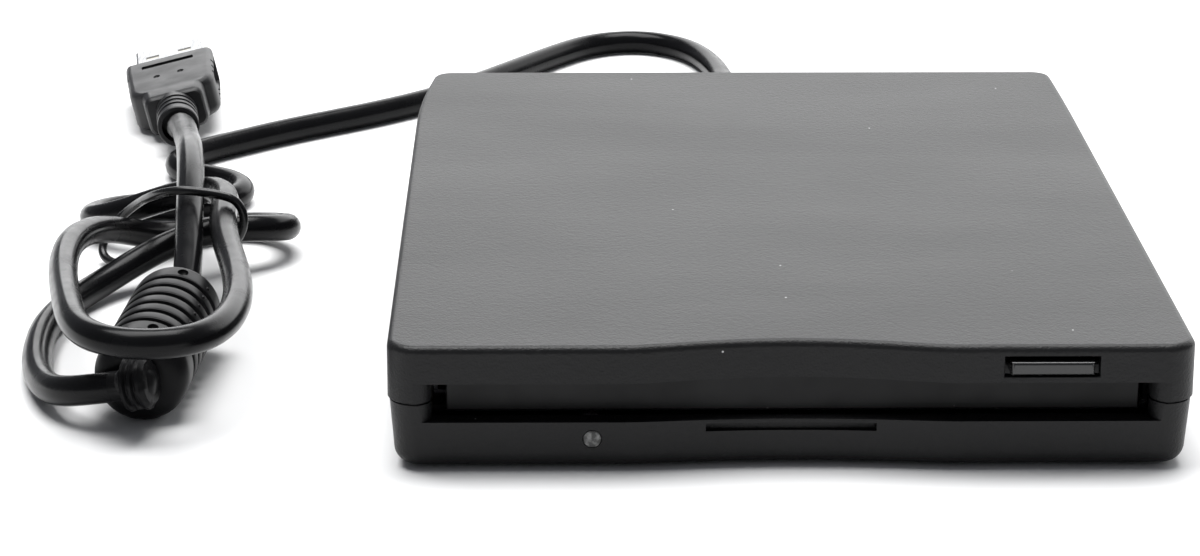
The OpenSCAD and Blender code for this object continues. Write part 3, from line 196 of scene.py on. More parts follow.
lead = round_cord("lead", LEAD_ROUTE + LOOP_ROUTE, LEAD_DIAMETER, "housing", "cord_lead", "cord_hank")
lead_end = round_cord("lead_end", END_ROUTE, LEAD_DIAMETER, "housing", "cord_tail")
print("two cords made")

# %% [markdown]
# ## Tools for making meshes
# Every other piece comes from a handful of tools, the way a model maker has a
# lathe, a saw and a file. A loft joins rings of points into a closed skin. A
# slab, a rod and a lathed body are all lofts with simple rings.

# %% Lofts
def loft(rings):
    """A closed mesh through rings of points, given in millimetres."""
    bm = bmesh.new()
    rows = [[bm.verts.new(Vector(p) * MM) for p in ring] for ring in rings]
    count = len(rows[0])
    for low, high in zip(rows, rows[1:]):
        for i in range(count):
            j = (i + 1) % count
            bm.faces.new((low[i], low[j], high[j], high[i]))
    bm.faces.new(rows[0][::-1])
    bm.faces.new(rows[-1])
    bmesh.ops.recalc_face_normals(bm, faces=bm.faces)
    mesh = bpy.data.meshes.new("loft")
    bm.to_mesh(mesh)
    bm.free()
    return mesh


def slab(low, high):
    """A box between two corners."""
    outline = [(low[0], low[1]), (high[0], low[1]), (high[0], high[1]), (low[0], high[1])]
    return loft([[(x, y, z) for x, y in outline] for z in (low[2], high[2])])


def prism(outline, low, high):
    """An outline drawn in x and y, carried from one height to another."""
    return loft([[(x, y, z) for x, y in outline] for z in (low, high)])


def lathe(profile, start, way, sides=64):
    """A body turned on the line from start along way. Its profile is [distance along, radius]."""
    way = Vector(way).normalized()
    side = way.orthogonal().normalized()
    other = way.cross(side)
    angles = [2 * math.pi * i / sides for i in range(sides)]
    return loft([
        [Vector(start) + way * along + (side * math.cos(a) + other * math.sin(a)) * radius
         for a in angles]
        for along, radius in profile])


def rod(start, end, radius, sides=48):
    """A plain round rod from one point to another."""
    span = Vector(end) - Vector(start)
    return lathe([(0, radius), (span.length, radius)], start, span, sides)


print("tools: loft, slab, prism, lathe, rod")

# %% [markdown]
# The saw and the glue are boolean modifiers. Blender works out where two
# closed meshes cross and keeps one side of the cut. Here each one is applied
# at once, so a finished piece is a plain mesh with nothing waiting on it.

# %% Cutting, joining and filing
scratch = bpy.data.collections.new("scratch")
bpy.context.scene.collection.children.link(scratch)


def settle(obj):
    """Applies every modifier of an object to its mesh."""
    graph = bpy.context.evaluated_depsgraph_get()
    graph.update()
    done = bpy.data.meshes.new_from_object(obj.evaluated_get(graph))
    obj.modifiers.clear()
    obj.data = done


def worked(mesh, tools, operation):
    """A mesh after some other meshes are cut from it (DIFFERENCE) or joined to it (UNION)."""
    work = bpy.data.objects.new("work", mesh)
    scratch.objects.link(work)
    for tool in tools:
        helper = bpy.data.objects.new("tool", tool)
        scratch.objects.link(helper)
        step = work.modifiers.new("step", "BOOLEAN")
        step.operation = operation
        step.solver = "EXACT"
        step.object = helper
    settle(work)
    for obj in list(scratch.objects):
        if obj != work:
            bpy.data.objects.remove(obj)
    result = work.data
    bpy.data.objects.remove(work)
    return result


def cut(mesh, *tools):
    """A mesh with some others cut out of it."""
    return worked(mesh, tools, "DIFFERENCE")


def join(mesh, *tools):
    """A mesh fused with some others."""
    return worked(mesh, tools, "UNION")


def file_edges(mesh, width, where, sharper_than=35, segments=2):
    """Rounds the sharp edges whose two ends, in millimetres, pass a test."""
    bm = bmesh.new()
    bm.from_mesh(mesh)
    limit = math.radians(sharper_than)
    chosen = [
        edge for edge in bm.edges
        if len(edge.link_faces) == 2 and edge.calc_face_angle() > limit
        and all(where(v.co / MM) for v in edge.verts)]
    if chosen:
        bmesh.ops.bevel(bm, geom=chosen, offset=width * MM, offset_type="OFFSET", segments=segments,
                        profile=0.5, affect="EDGES", clamp_overlap=True)
    bmesh.ops.remove_doubles(bm, verts=bm.verts, dist=0.0005 * MM)
    bm.to_mesh(mesh)
    bm.free()
    return len(chosen)


print("tools: cut, join, file_edges")

# %% [markdown]
# Shading is the last touch on a mesh. Smooth shading would smear the light
# across real corners, so edges past an angle stay sharp, and weighted normals
# keep big flat faces flat right up to their filed edges.

# %% Turning a mesh into a piece
def piece(name, mesh, body, slot, *nodes, angle=40):
    """Puts a mesh into the scene as a piece that rides on a body and stands for some nodes."""
    mesh.name = name
    mesh.shade_smooth()
    mesh.set_sharp_from_angle(angle=math.radians(angle))
    obj = bpy.data.objects.new(name, mesh)
    bpy.context.scene.collection.objects.link(obj)
    flat = obj.modifiers.new("flat faces", "WEIGHTED_NORMAL")
    flat.keep_sharp = True
    settle(obj)
    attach(obj, body)
    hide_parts(*nodes)
    obj.data.materials.clear()
    return obj


print("pieces so far:", lead.name, lead_end.name)

# %% [markdown]
# ## Finishes
# A finish is a small graph. It starts from the place of the point on the
# piece, turns that into a pattern such as noise, and lets the pattern shift
# the colour, the roughness or the height a little. Real moulded plastic is
# never one colour: its grain scatters light unevenly, and the mould leaves it
# a shade glossier here and there. All sizes are in millimetres of the object,
# so a grain of 0.3 is a grain of 0.3 on the real thing.

# %% Blank finish and patterns
def blank(name, color, roughness, metallic=0.0, specular=0.5):
    """A Principled finish with plain values, ready for its patterns."""
    material = bpy.data.materials.new(name)
    material.use_nodes = True
    shader = material.node_tree.nodes["Principled BSDF"]
    shader.inputs["Base Color"].default_value = (*color, 1)
    shader.inputs["Roughness"].default_value = roughness
    shader.inputs["Metallic"].default_value = metallic
    shader.inputs["Specular IOR Level"].default_value = specular
    material.diffuse_color = (*color, 1)
    return material


def pattern(material, kind, size, stretch=(1, 1, 1), **settings):
    """A pattern node whose features are about size millimetres across."""
    tree = material.node_tree
    place = tree.nodes.new("ShaderNodeTexCoord")
    spread = tree.nodes.new("ShaderNodeMapping")
    spread.inputs["Scale"].default_value = [s / (size * MM) for s in stretch]
    tree.links.new(place.outputs["Object"], spread.inputs["Vector"])
    node = tree.nodes.new(kind)
    node.inputs["Scale"].default_value = 1
    for socket, value in settings.items():
        node.inputs[socket].default_value = value
    tree.links.new(spread.outputs["Vector"], node.inputs["Vector"])
    return node


def noise(material, size, detail=3.0, stretch=(1, 1, 1)):
    """The height of a cloudy noise whose clouds are about size millimetres across."""
    return pattern(material, "ShaderNodeTexNoise", size, stretch, Detail=detail).outputs["Fac"]


print("blank finishes and patterns are ready")

# %% [markdown]
# A pattern does nothing until it drives a socket. It could be painted on as an
# image, but a node works at any distance and needs no unwrapping. Each of the
# three helpers below takes a height from 0 to 1 and sends it to one place: the
# colour, the roughness, or the slope of the surface.

# %% What a pattern does to a finish
def shaded(material, height, dark, light, low=0.35, high=0.65):
    """Lets a pattern move the colour from dark to light."""
    tree = material.node_tree
    ramp = tree.nodes.new("ShaderNodeValToRGB")
    ramp.color_ramp.elements[0].position = low
    ramp.color_ramp.elements[0].color = (*dark, 1)
    ramp.color_ramp.elements[1].position = high
    ramp.color_ramp.elements[1].color = (*light, 1)
    tree.links.new(height, ramp.inputs["Fac"])
    tree.links.new(ramp.outputs["Color"], tree.nodes["Principled BSDF"].inputs["Base Color"])
    return ramp.outputs["Color"]


def glossed(material, height, low, high):
    """Lets a pattern move the roughness between two values."""
    tree = material.node_tree
    span = tree.nodes.new("ShaderNodeMapRange")
    span.inputs["From Min"].default_value = 0.3
    span.inputs["From Max"].default_value = 0.7
    span.inputs["To Min"].default_value = low
    span.inputs["To Max"].default_value = high
    tree.links.new(height, span.inputs["Value"])
    tree.links.new(span.outputs["Result"], tree.nodes["Principled BSDF"].inputs["Roughness"])


def raised(material, height, depth, strength=1.0, after=None):
    """Lets a pattern stand out by a depth in millimetres, on top of an earlier relief."""
    tree = material.node_tree
    bump = tree.nodes.new("ShaderNodeBump")
    bump.inputs["Strength"].default_value = strength
    bump.inputs["Distance"].default_value = depth * MM
    tree.links.new(height, bump.inputs["Height"])
    if after:
        tree.links.new(after, bump.inputs["Normal"])
    tree.links.new(bump.outputs["Normal"], tree.nodes["Principled BSDF"].inputs["Normal"])
    return bump.outputs["Normal"]


def tint(color, factor):
    """A colour made lighter or darker."""
    return tuple(channel * factor for channel in color)


print("a pattern can shade, gloss and raise a finish")

# %% [markdown]
# The case is charcoal plastic from a mould with a fine sparked grain. Two
# noises of different size make the grain, a third, some 30 mm wide, makes the
# colour drift, and a few bright specks of dust lie on it, as they do on any
# black plastic under a studio lamp.

# %% Case finish
CHARCOAL = (0.008, 0.008, 0.0085)
GRAIN = 0.28


def dusty(material, color, cell, speck, share, dust=(0.5, 0.5, 0.5)):
    """Lays sparse specks of dust over a colour: one speck in some of the cells."""
    tree = material.node_tree
    cells = pattern(material, "ShaderNodeTexVoronoi", cell)
    near = tree.nodes.new("ShaderNodeMath")
    near.operation = "LESS_THAN"
    near.inputs[1].default_value = speck / cell
    tree.links.new(cells.outputs["Distance"], near.inputs[0])
    parts = tree.nodes.new("ShaderNodeSeparateColor")
    tree.links.new(cells.outputs["Color"], parts.inputs["Color"])
    chosen = tree.nodes.new("ShaderNodeMath")
    chosen.operation = "LESS_THAN"
    chosen.inputs[1].default_value = share
    tree.links.new(parts.outputs["Red"], chosen.inputs[0])
    both = tree.nodes.new("ShaderNodeMath")
    both.operation = "MULTIPLY"
    tree.links.new(near.outputs["Value"], both.inputs[0])
    tree.links.new(chosen.outputs["Value"], both.inputs[1])
    mix = tree.nodes.new("ShaderNodeMix")
    mix.data_type = "RGBA"
    mix.inputs["B"].default_value = (*dust, 1)
    tree.links.new(both.outputs["Value"], mix.inputs["Factor"])
    tree.links.new(color, mix.inputs["A"])
    tree.links.new(mix.outputs["Result"], tree.nodes["Principled BSDF"].inputs["Base Color"])


def case_finish(name, color, roughness, grain_depth=0.11, specular=0.22):
    """Sparked charcoal plastic."""
    material = blank(name, color, roughness, specular=specular)
    drift = shaded(material, noise(material, 30), tint(color, 0.88), tint(color, 1.12))
    dusty(material, drift, cell=4.5, speck=0.14, share=0.16)
    glossed(material, noise(material, 20, stretch=(0.4, 1, 1)), roughness - 0.02, roughness + 0.02)
    fine = raised(material, noise(material, GRAIN, detail=2), grain_depth, 0.6)
    raised(material, noise(material, GRAIN * 3.2, detail=1), grain_depth, 0.35, after=fine)
    return material


finishes = {"case": case_finish("case_plastic", CHARCOAL, 0.42)}
print("case finish:", len(finishes["case"].node_tree.nodes), "nodes")

# %% [markdown]
# ## The case
# The case is two shallow shells that meet at a seam a little above half
# height. Seen from above it is a rectangle with soft corners, a trifle
# narrower at the back, and with a long finger wave pressed into the front so
# that a thumb can push the disk right in. One function draws that outline at
# any inset, and a loft through a few heights of it makes each shell, rounded
# edges included. That keeps the wave, the corners and the edges in step.

# %% Outline of the case
top_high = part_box("upper_shell")[1] / MM
HALF_WIDTH = top_high.x
REAR_Y = top_high.y
HEIGHT = top_high.z
WALL = 1.5
CORNER_FRONT = 4
CORNER_REAR = 3
TAPER_LEFT = 1.8
TAPER_RIGHT = 0.3
TAPER_Y = REAR_Y - 31
WAVE_HALF = 21
WAVE_TOP = 2.7
WAVE_BASE = 1.3


def arc(x, y, radius, start, end, steps=14):
    """Points of an arc, between two angles in degrees."""
    angles = [math.radians(start + (end - start) * i / steps) for i in range(steps + 1)]
    return [(x + radius * math.cos(a), y + radius * math.sin(a)) for a in angles]


def quarter(steps):
    """Angles of a quarter turn, in radians."""
    return [math.pi / 2 * i / steps for i in range(steps + 1)]


def taper(side, inset, depth, steps=16):
    """Points of one long side, which draws in towards the rear."""
    run = REAR_Y - CORNER_REAR - TAPER_Y
    shares = [i / steps for i in range(steps)]
    return [(side * (HALF_WIDTH - inset - depth * t * t), TAPER_Y + run * t) for t in shares]


def wave(inset, depth, steps=56):
    """Points of the front, with the finger wave."""
    shares = [-1 + 2 * i / steps for i in range(steps + 1)]
    return [(WAVE_HALF * t, FRONT_Y + inset + depth * max(0, 1 - t * t) ** 1.5) for t in shares]


def corner(side, radius, front, inset, start, draw=0):
    """One rounded corner of the outline at an inset, which never turns inside out."""
    left = max(radius - inset, 0.1)
    reach = HALF_WIDTH - draw - inset - left
    y = FRONT_Y + inset + left if front else REAR_Y - inset - left
    return arc(side * reach, y, left, start, start + 90)


def plan(inset, depth):
    """The whole outline at an inset, starting from the middle of the rear."""
    return (
        corner(-1, CORNER_REAR, False, inset, 90, TAPER_LEFT)
        + taper(-1, inset, TAPER_LEFT)[::-1]
        + corner(-1, CORNER_FRONT, True, inset, 180)
        + wave(inset, depth)
        + corner(1, CORNER_FRONT, True, inset, 270)
        + taper(1, inset, TAPER_RIGHT)
        + corner(1, CORNER_REAR, False, inset, 0, TAPER_RIGHT))


def case_loft(levels):
    """A solid through levels of (height, inset, wave depth)."""
    return loft([[(x, y, z) for x, y in plan(inset, depth)] for z, inset, depth in levels])


def rounded(height, radius, inset, depth, upwards, steps=8):
    """Levels of a rounded edge, from the side of the case to its flat."""
    return [
        (height + upwards * radius * math.sin(a), inset + radius * (1 - math.cos(a)), depth)
        for a in quarter(steps)]


print("outline of", len(plan(0, WAVE_TOP)), "points,", round(2 * HALF_WIDTH, 1), "mm wide")

# %% [markdown]
# ### The slot
# The slot is one deep cut across the front, so both shells are cut with the
# same tool. Its two ends aren't sharp: the front rolls into the slot over
# three millimetres, like the bull nose of a table top, and guides the disk in.
# Behind each cheek stands a block of solid plastic, or the roll would break
# through the thin wall.

# %% Tools for the slot
SEAM_Z = 9.3
SLOT_HALF = 45.8
SLOT_LOW = 6.8
SLOT_HIGH = 12.1
CHEEK_FLARE = 3.0
CHEEK_DEPTH = 2.6
CHEEK_BACK = FRONT_Y + CHEEK_DEPTH + 0.8
ROLL_START = 9
ROLL_STEPS = 18
CEILING = HEIGHT - WALL
SKIN = 0.9
# How far solids reach into each other, so that they fuse.
TOUCH = 0.01
# Height and depth of the seam's groove where it crosses the slot's ends.
SEAM_GAP = 0.14
SEAM_REACH = 0.22


def slot_tool(wider=0, low=SLOT_LOW, high=SLOT_HIGH):
    """The slot as a solid to cut with, or a thin wider slice of it for the seam on its ends."""
    angles = [math.radians(ROLL_START + (90 - ROLL_START) * i / ROLL_STEPS)
              for i in range(ROLL_STEPS + 1)]
    half = [(SLOT_HALF + wider + CHEEK_FLARE * (1 - math.sin(a)),
             FRONT_Y + wider + CHEEK_DEPTH * (1 - math.cos(a))) for a in angles]
    half = [(half[0][0], FRONT_Y - 1), *half, (SLOT_HALF + wider, CHEEK_BACK + 2)]
    return prism(half + [(-x, y) for x, y in reversed(half)], low, high)


def inside_skin(mesh, inset, depth, low, high):
    """What of a mesh lies inside the skin of the case."""
    return worked(mesh, [case_loft([(low - 1, inset, depth), (high + 1, inset, depth)])], "INTERSECT")


def cheeks(inset, depth, low, high):
    """The two blocks beside the slot, from one height to another."""
    return [
        inside_skin(slab((side * SLOT_HALF if side > 0 else -HALF_WIDTH, FRONT_Y, low),
                         (HALF_WIDTH if side > 0 else -SLOT_HALF, CHEEK_BACK, high)),
                    inset, depth, low, high)
        for side in (-1, 1)]


def in_box(low, high):
    """A test for points inside a box, for choosing edges to file."""
    return lambda p: all(a - 0.01 <= c <= b + 0.01 for a, c, b in zip(low, p, high))


print("slot", 2 * SLOT_HALF, "by", round(SLOT_HIGH - SLOT_LOW, 1), "mm")

# %% [markdown]
# ### The upper shell
# The lid is one moulding: a thin skin, blocks beside the slot, and a post for
# each screw. It could be drawn as a surface and given a thickness, but two
# lofts, the inner one cut from the outer, keep it nearly even round the wave.
# Only the edges that catch the light, round the window and over the slot, are
# filed.

# %% Upper shell
WINDOW_X = (26.85, 38.95)
WINDOW_Z = (12.9, 15.6)
TOP_EDGE = 1.0
SEAM_CHAMFER = 0.25
SEAM_VEE = 0.2
SCREWS = [(-44, REAR_Y - 9), (44, REAR_Y - 9)]
POST_RADIUS = 3
POST_JOINT = 6
PILOT_RADIUS = 1.05
GLAND_Z = 8.6
GLAND_HOLE = 3


def gland_hole():
    """The round hole through the rear wall, half in each shell."""
    return rod((0, REAR_Y - 4, GLAND_Z), (0, REAR_Y + 1, GLAND_Z), GLAND_HOLE)


def upper_shell():
    """The lid of the case, hollow, with its slot, its window and its screw posts."""
    skin = case_loft(
        [(SEAM_Z, SEAM_CHAMFER, WAVE_TOP), (SEAM_Z + SEAM_VEE, 0, WAVE_TOP)]
        + rounded(HEIGHT - TOP_EDGE, TOP_EDGE, 0, WAVE_TOP, 1))
    inner_wave = WAVE_TOP - 0.4
    shell = cut(skin, case_loft([(SEAM_Z - 1, WALL, inner_wave), (CEILING, WALL, inner_wave)]))
    posts = [rod((x, y, POST_JOINT), (x, y, CEILING + TOUCH), POST_RADIUS) for x, y in SCREWS]
    shell = join(shell, *cheeks(SKIN, WAVE_TOP, SEAM_Z, CEILING + TOUCH), *posts)
    shell = cut(
        shell, slot_tool(), slot_tool(SEAM_REACH, SEAM_Z - 1, SEAM_Z + SEAM_GAP),
        slab((WINDOW_X[0], FRONT_Y - 1, WINDOW_Z[0]),
             (WINDOW_X[1], FRONT_Y + WALL + 0.2, WINDOW_Z[1])),
        gland_hole(),
        *[rod((x, y, 5), (x, y, 13), PILOT_RADIUS) for x, y in SCREWS])
    filed = file_edges(shell, 0.14, in_box((WINDOW_X[0], FRONT_Y - 1, WINDOW_Z[0]),
                                           (WINDOW_X[1], FRONT_Y + 0.3, WINDOW_Z[1])))
    filed += file_edges(shell, 0.22, in_box((-SLOT_HALF + 0.1, FRONT_Y - 1, SLOT_HIGH),
                                            (SLOT_HALF - 0.1, FRONT_Y + WAVE_TOP + 0.2, SLOT_HIGH)))
    print("upper shell:", len(shell.polygons), "faces,", filed, "edges filed")
    return piece("case_top", shell, "housing", "case", "upper_shell")


case_top = upper_shell()

# %% [markdown]
# ### The lower shell
# The tray carries what the lid doesn't: the lip of the slot with its thumb
# notch, the lamp's hole, the seats of the rubber feet and the counterbores of
# the screws. It is made as the lid is, lofted, joined and cut, so that both
# shells share one outline. Its sides lean in a little towards the floor, which
# lets it out of the mould.

# %% Lower shell
FOOT_GAP = 0.4
BASE_EDGE = 2.4
DRAFT = 0.5
FLOOR = FOOT_GAP + 1.4
NOTCH_HALF = 10.9
NOTCH_Z = (5.2, 6.3)
NOTCH_BACK = FRONT_Y + WAVE_BASE + 1.2
LEDGE = 1.2
LAMP = (-25.4, 4.5)
LAMP_HOLE = 1.25
FEET = [(x, y) for x in (-40, 40) for y in (-55, 55)]
FOOT_RADIUS = 4
FOOT_SEAT = 1
HEAD_RADIUS = 2.2
HEAD_SEAT = 2.6
SCREW_HOLE = 1.25


def lower_shell():
    """The tray of the case, with the lip of the slot, its thumb notch and the seats of its feet."""
    low = SEAM_CHAMFER + DRAFT
    skin = case_loft(
        rounded(FOOT_GAP + BASE_EDGE, BASE_EDGE, low, WAVE_BASE, -1)[::-1]
        + [(SEAM_Z - SEAM_VEE, SEAM_CHAMFER, WAVE_BASE), (SEAM_Z, SEAM_CHAMFER + SEAM_VEE, WAVE_BASE)])
    inner = WALL + DRAFT
    shell = cut(skin, case_loft([(FLOOR, inner, WAVE_BASE), (SEAM_Z + 1, inner, WAVE_BASE)]))
    under = FLOOR - TOUCH
    lip = inside_skin(
        join(slab((-SLOT_HALF - TOUCH, FRONT_Y, SLOT_LOW - LEDGE),
                  (SLOT_HALF + TOUCH, CHEEK_BACK, SLOT_LOW)),
             slab((-NOTCH_HALF - 1, FRONT_Y, under), (NOTCH_HALF + 1, CHEEK_BACK, SLOT_LOW))),
        SKIN + DRAFT, WAVE_BASE, FLOOR, SEAM_Z)
    posts = [rod((x, y, under), (x, y, POST_JOINT), POST_RADIUS) for x, y in SCREWS]
    shell = join(shell, lip, *cheeks(SKIN + DRAFT, WAVE_BASE, under, SEAM_Z), *posts)
    shell = cut(
        shell, slot_tool(), slot_tool(SEAM_REACH, SEAM_Z - SEAM_GAP, SEAM_Z + 1),
        slab((-NOTCH_HALF, FRONT_Y - 1, NOTCH_Z[0]), (NOTCH_HALF, NOTCH_BACK, NOTCH_Z[1])),
        rod((LAMP[0], FRONT_Y - 1, LAMP[1]), (LAMP[0], CHEEK_BACK + 1, LAMP[1]), LAMP_HOLE),
        gland_hole(),
        *[rod((x, y, 0), (x, y, FOOT_SEAT), FOOT_RADIUS) for x, y in FEET],
        *[rod((x, y, 0), (x, y, HEAD_SEAT), HEAD_RADIUS) for x, y in SCREWS],
        *[rod((x, y, 0), (x, y, POST_JOINT + 1), SCREW_HOLE) for x, y in SCREWS])
    reach = SLOT_HALF + CHEEK_FLARE
    filed = file_edges(shell, 0.25, in_box((-reach, FRONT_Y - 1, SLOT_LOW),
                                           (reach, FRONT_Y + WAVE_BASE + 0.9, SLOT_LOW)))
    print("lower shell:", len(shell.polygons), "faces,", filed, "edges filed")
    return piece("case_base", shell, "housing", "case", "lower_shell")


case_base = lower_shell()

# %% [markdown]
# ### The door
# The door hangs on two pins behind the slot and keeps dust out. A disk pushes
# it inwards. Only its front shows, but it swings, and then its barrel and the
# rib inside show too. So the whole flap is joined from plain shapes.

# %% Door
DOOR_FRONT = FRONT_Y + 4.1
DOOR_THICK = 1.0
door_low, door_high = (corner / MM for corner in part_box("slot_door"))
HINGE = (DOOR_FRONT + DOOR_THICK / 2, 13.1)
HINGE_PIN = 0.45
RIB_THICK = 0.4
RIB_HEIGHT = 0.7
DOOR_HALF = 44.4
DOOR_SHIFT = 0.3


def slot_door():
    """The panel of the door with its barrel, its two pins and the stiffening rib inside."""
    left, far = DOOR_SHIFT - DOOR_HALF, DOOR_SHIFT + DOOR_HALF
    panel = slab((left, DOOR_FRONT, door_low.z), (far, DOOR_FRONT + DOOR_THICK, HINGE[1]))
    face = in_box((left, DOOR_FRONT, door_low.z), (far, DOOR_FRONT, HINGE[1]))
    file_edges(panel, 0.25, face, segments=3)
    rib = slab((left, DOOR_FRONT + DOOR_THICK - TOUCH, door_low.z),
               (far, DOOR_FRONT + DOOR_THICK + RIB_THICK, door_low.z + RIB_HEIGHT))
    barrel = rod((left, *HINGE), (far, *HINGE), DOOR_THICK / 2)
    pins = rod((door_low.x, *HINGE), (door_high.x, *HINGE), HINGE_PIN)
    return piece("door_flap", join(panel, rib, barrel, pins), "door", "door", "slot_door")


door_flap = slot_door()
print("door", round(2 * DOOR_HALF, 1), "mm wide")

# %% [markdown]
# ### The button
# The button is a moulded cap on the front of the slide. A sharp box would look
# cut from card. Its edges are rounded a little instead, and that small radius
# is what catches a thin bright line of light all round it.

# %% Button
BUTTON_X = (27.6, 38.2)
BUTTON_Z = (13.2, 15.0)
BUTTON_FACE = FRONT_Y - 0.5
STEM_Z = 14.0
CAP_ROUND = 0.42
button_low, button_high = (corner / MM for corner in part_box("eject_button"))


def button_cap():
    """The cap of the button, with its stem that runs in over the door to the slide."""
    cap = slab((BUTTON_X[0], BUTTON_FACE, BUTTON_Z[0]), (BUTTON_X[1], DOOR_FRONT - 0.4, BUTTON_Z[1]))
    front = in_box((BUTTON_X[0], BUTTON_FACE, BUTTON_Z[0]),
                   (BUTTON_X[1], DOOR_FRONT - 1, BUTTON_Z[1]))
    file_edges(cap, CAP_ROUND, front, segments=5)
    left, far = BUTTON_X[0] + 1, BUTTON_X[1] - 1
    stem = slab((left, DOOR_FRONT - 0.6, STEM_Z), (far, button_high.y, BUTTON_Z[1] - TOUCH))
    foot = slab((left, button_high.y - 1.5, button_low.z), (far, button_high.y, STEM_Z + 0.2))
    return piece("button_cap", join(cap, stem, foot), "ejector", "button", "eject_button")


button = button_cap()
print("button", round(BUTTON_X[1] - BUTTON_X[0], 1), "by", round(BUTTON_Z[1] - BUTTON_Z[0], 1), "mm")

# %% [markdown]
# ### The lamp
# The lamp is a stub of clear rod that carries the light of a chip on the board
# to the front. A flange stops it from being pushed out. It is round all the
# way, so one profile on the lathe gives the dome, the rod and the flange.

# %% Lamp
LENS_RADIUS = 1.12
DOME_HEIGHT = 0.12
FLANGE_THICK = 0.8
pipe_low, pipe_high = (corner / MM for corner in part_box("light_pipe"))


def lamp_lens():
    """The clear rod of the lamp with a shallow dome on its end and its flange."""
    start = Vector((LAMP[0], pipe_low.y, LAMP[1]))
    length = pipe_high.y - pipe_low.y
    flange = (pipe_high.x - pipe_low.x) / 2
    ledge = FRONT_Y + 4.3 - pipe_low.y
    dome = [(DOME_HEIGHT * (1 - math.cos(a)), LENS_RADIUS * math.sin(a)) for a in quarter(5)[1:]]
    body = [(ledge, LENS_RADIUS), (ledge, flange), (ledge + FLANGE_THICK, flange),
            (ledge + FLANGE_THICK, LENS_RADIUS), (length, LENS_RADIUS)]
    mesh = lathe([(0, 0.02), *dome, *body], start, (0, 1, 0), 48)
    return piece("lamp_lens", mesh, "housing", "lamp_window", "light_pipe")


lamp = lamp_lens()
print("lamp lens", round(2 * LENS_RADIUS, 1), "mm across")

# %% [markdown]
# ### Pieces on the lead
# The lead leaves the case through a tapered relief with ribs, which lets it
# bend without kinking. It is a body of revolution, so it is turned on the
# lathe from a profile. Each groove is drawn with sloped sides, because a mould
# could not let go of a sharp one.

# %% Gland
RELIEF_LENGTH = 11
RELIEF_RIBS = 4
RELIEF_ROOT = 3.9
RELIEF_TAPER = 1.2
FLANGE_RADIUS = 4.4
NECK_RADIUS = 2.95
relief = [(0, 0.4), (0, 3.6), (0.15, 3.85), (0.8, RELIEF_ROOT), (1.1, 3.75)]
for i in range(1, RELIEF_RIBS + 1):
    ring = i * RELIEF_LENGTH / (RELIEF_RIBS + 1)
    radius = RELIEF_ROOT - RELIEF_TAPER * ring / RELIEF_LENGTH
    relief += [(ring - 1.0, radius + 0.05), (ring - 0.85, radius - 0.5), (ring - 0.2, radius - 0.5),
               (ring - 0.05, radius - 0.05), (ring + 0.15, radius + 0.02)]
relief += [(RELIEF_LENGTH - 0.25, 2.7), (RELIEF_LENGTH, 2.5), (RELIEF_LENGTH, 0.4)]
gland_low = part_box("cable_gland")[0] / MM


def cable_gland():
    """The relief, and behind it the neck and the flange that hold it in the wall."""
    inner = REAR_Y - WALL - 1.2 - gland_low.y
    wall = REAR_Y - WALL - 0.5 - gland_low.y
    cord = LEAD_DIAMETER / 2
    profile = [(0, cord), (inner, cord), (inner, FLANGE_RADIUS), (wall, FLANGE_RADIUS),
               (wall, NECK_RADIUS), (REAR_Y + 0.2 - gland_low.y, NECK_RADIUS)]
    tail = lathe(profile, (0, gland_low.y, GLAND_Z), (0, 1, 0))
    outer = lathe(relief, (0, REAR_Y, GLAND_Z), (0, 1, 0))
    return piece("gland", join(outer, tail), "housing", "cord", "cable_gland", angle=50)


gland = cable_gland()
print("gland", RELIEF_LENGTH, "mm long outside")

# %% [markdown]
# The filter is a ferrite tube in a moulded sleeve, which keeps the noise of the
# drive off the lead. Its body is turned on the lathe too, with a plain band at
# each end and grooves for grip between them.

# %% Filter
FILTER_NEAR = placed((-84.95, 18.6, 6.35))
FILTER_FAR = placed((-82.8, 51, 6.35))
FILTER_RADIUS = 6.35
FILTER_ROUND = 3
BAND = 5
GROOVES = 6
GROOVE_DEPTH = 0.8
SLEEVE_BORE = 2.2
CORE_RADIUS = 4.8
COLLAR = placed(LOOP_ROUTE[-1])
COLLAR_WAY = (placed(LOOP_ROUTE[-2]) - COLLAR).normalized()
NECK = 3.2
ELBOW = COLLAR - (NECK + 0.1) * COLLAR_WAY
filter_way = (FILTER_FAR - FILTER_NEAR).normalized()
filter_length = (FILTER_FAR - FILTER_NEAR).length
groove_pitch = (filter_length - 2 * BAND) / GROOVES


def sleeve_profile():
    """The profile of the sleeve: rounded ends, a plain band at each, and grooves between."""
    start = [(FILTER_ROUND * (1 - math.cos(a)), FILTER_RADIUS - FILTER_ROUND * (1 - math.sin(a)))
             for a in quarter(10)]
    deep = FILTER_RADIUS - GROOVE_DEPTH
    middle = []
    for i in range(GROOVES):
        groove = BAND + (i + 0.5) * groove_pitch
        middle += [(groove - 0.95, FILTER_RADIUS), (groove - 0.7, FILTER_RADIUS - 0.12),
                   (groove - 0.5, deep), (groove + 0.5, deep),
                   (groove + 0.7, FILTER_RADIUS - 0.12), (groove + 0.95, FILTER_RADIUS)]
    end = [(filter_length - along, radius) for along, radius in reversed(start)]
    return [(0, SLEEVE_BORE), *start, *middle, *end, (filter_length, SLEEVE_BORE)]


print("filter", round(filter_length, 1), "mm long,", 2 * FILTER_RADIUS, "mm across")

# %% [markdown]
# The lead enters the filter from the side, through an elbow with a collar whose
# edge is ragged. A clean lathe form would look too new there, so a smooth noise
# pushes its points in and out. The two dimples and the row of pips are what the
# mould left, and are cut and joined like any other shape.

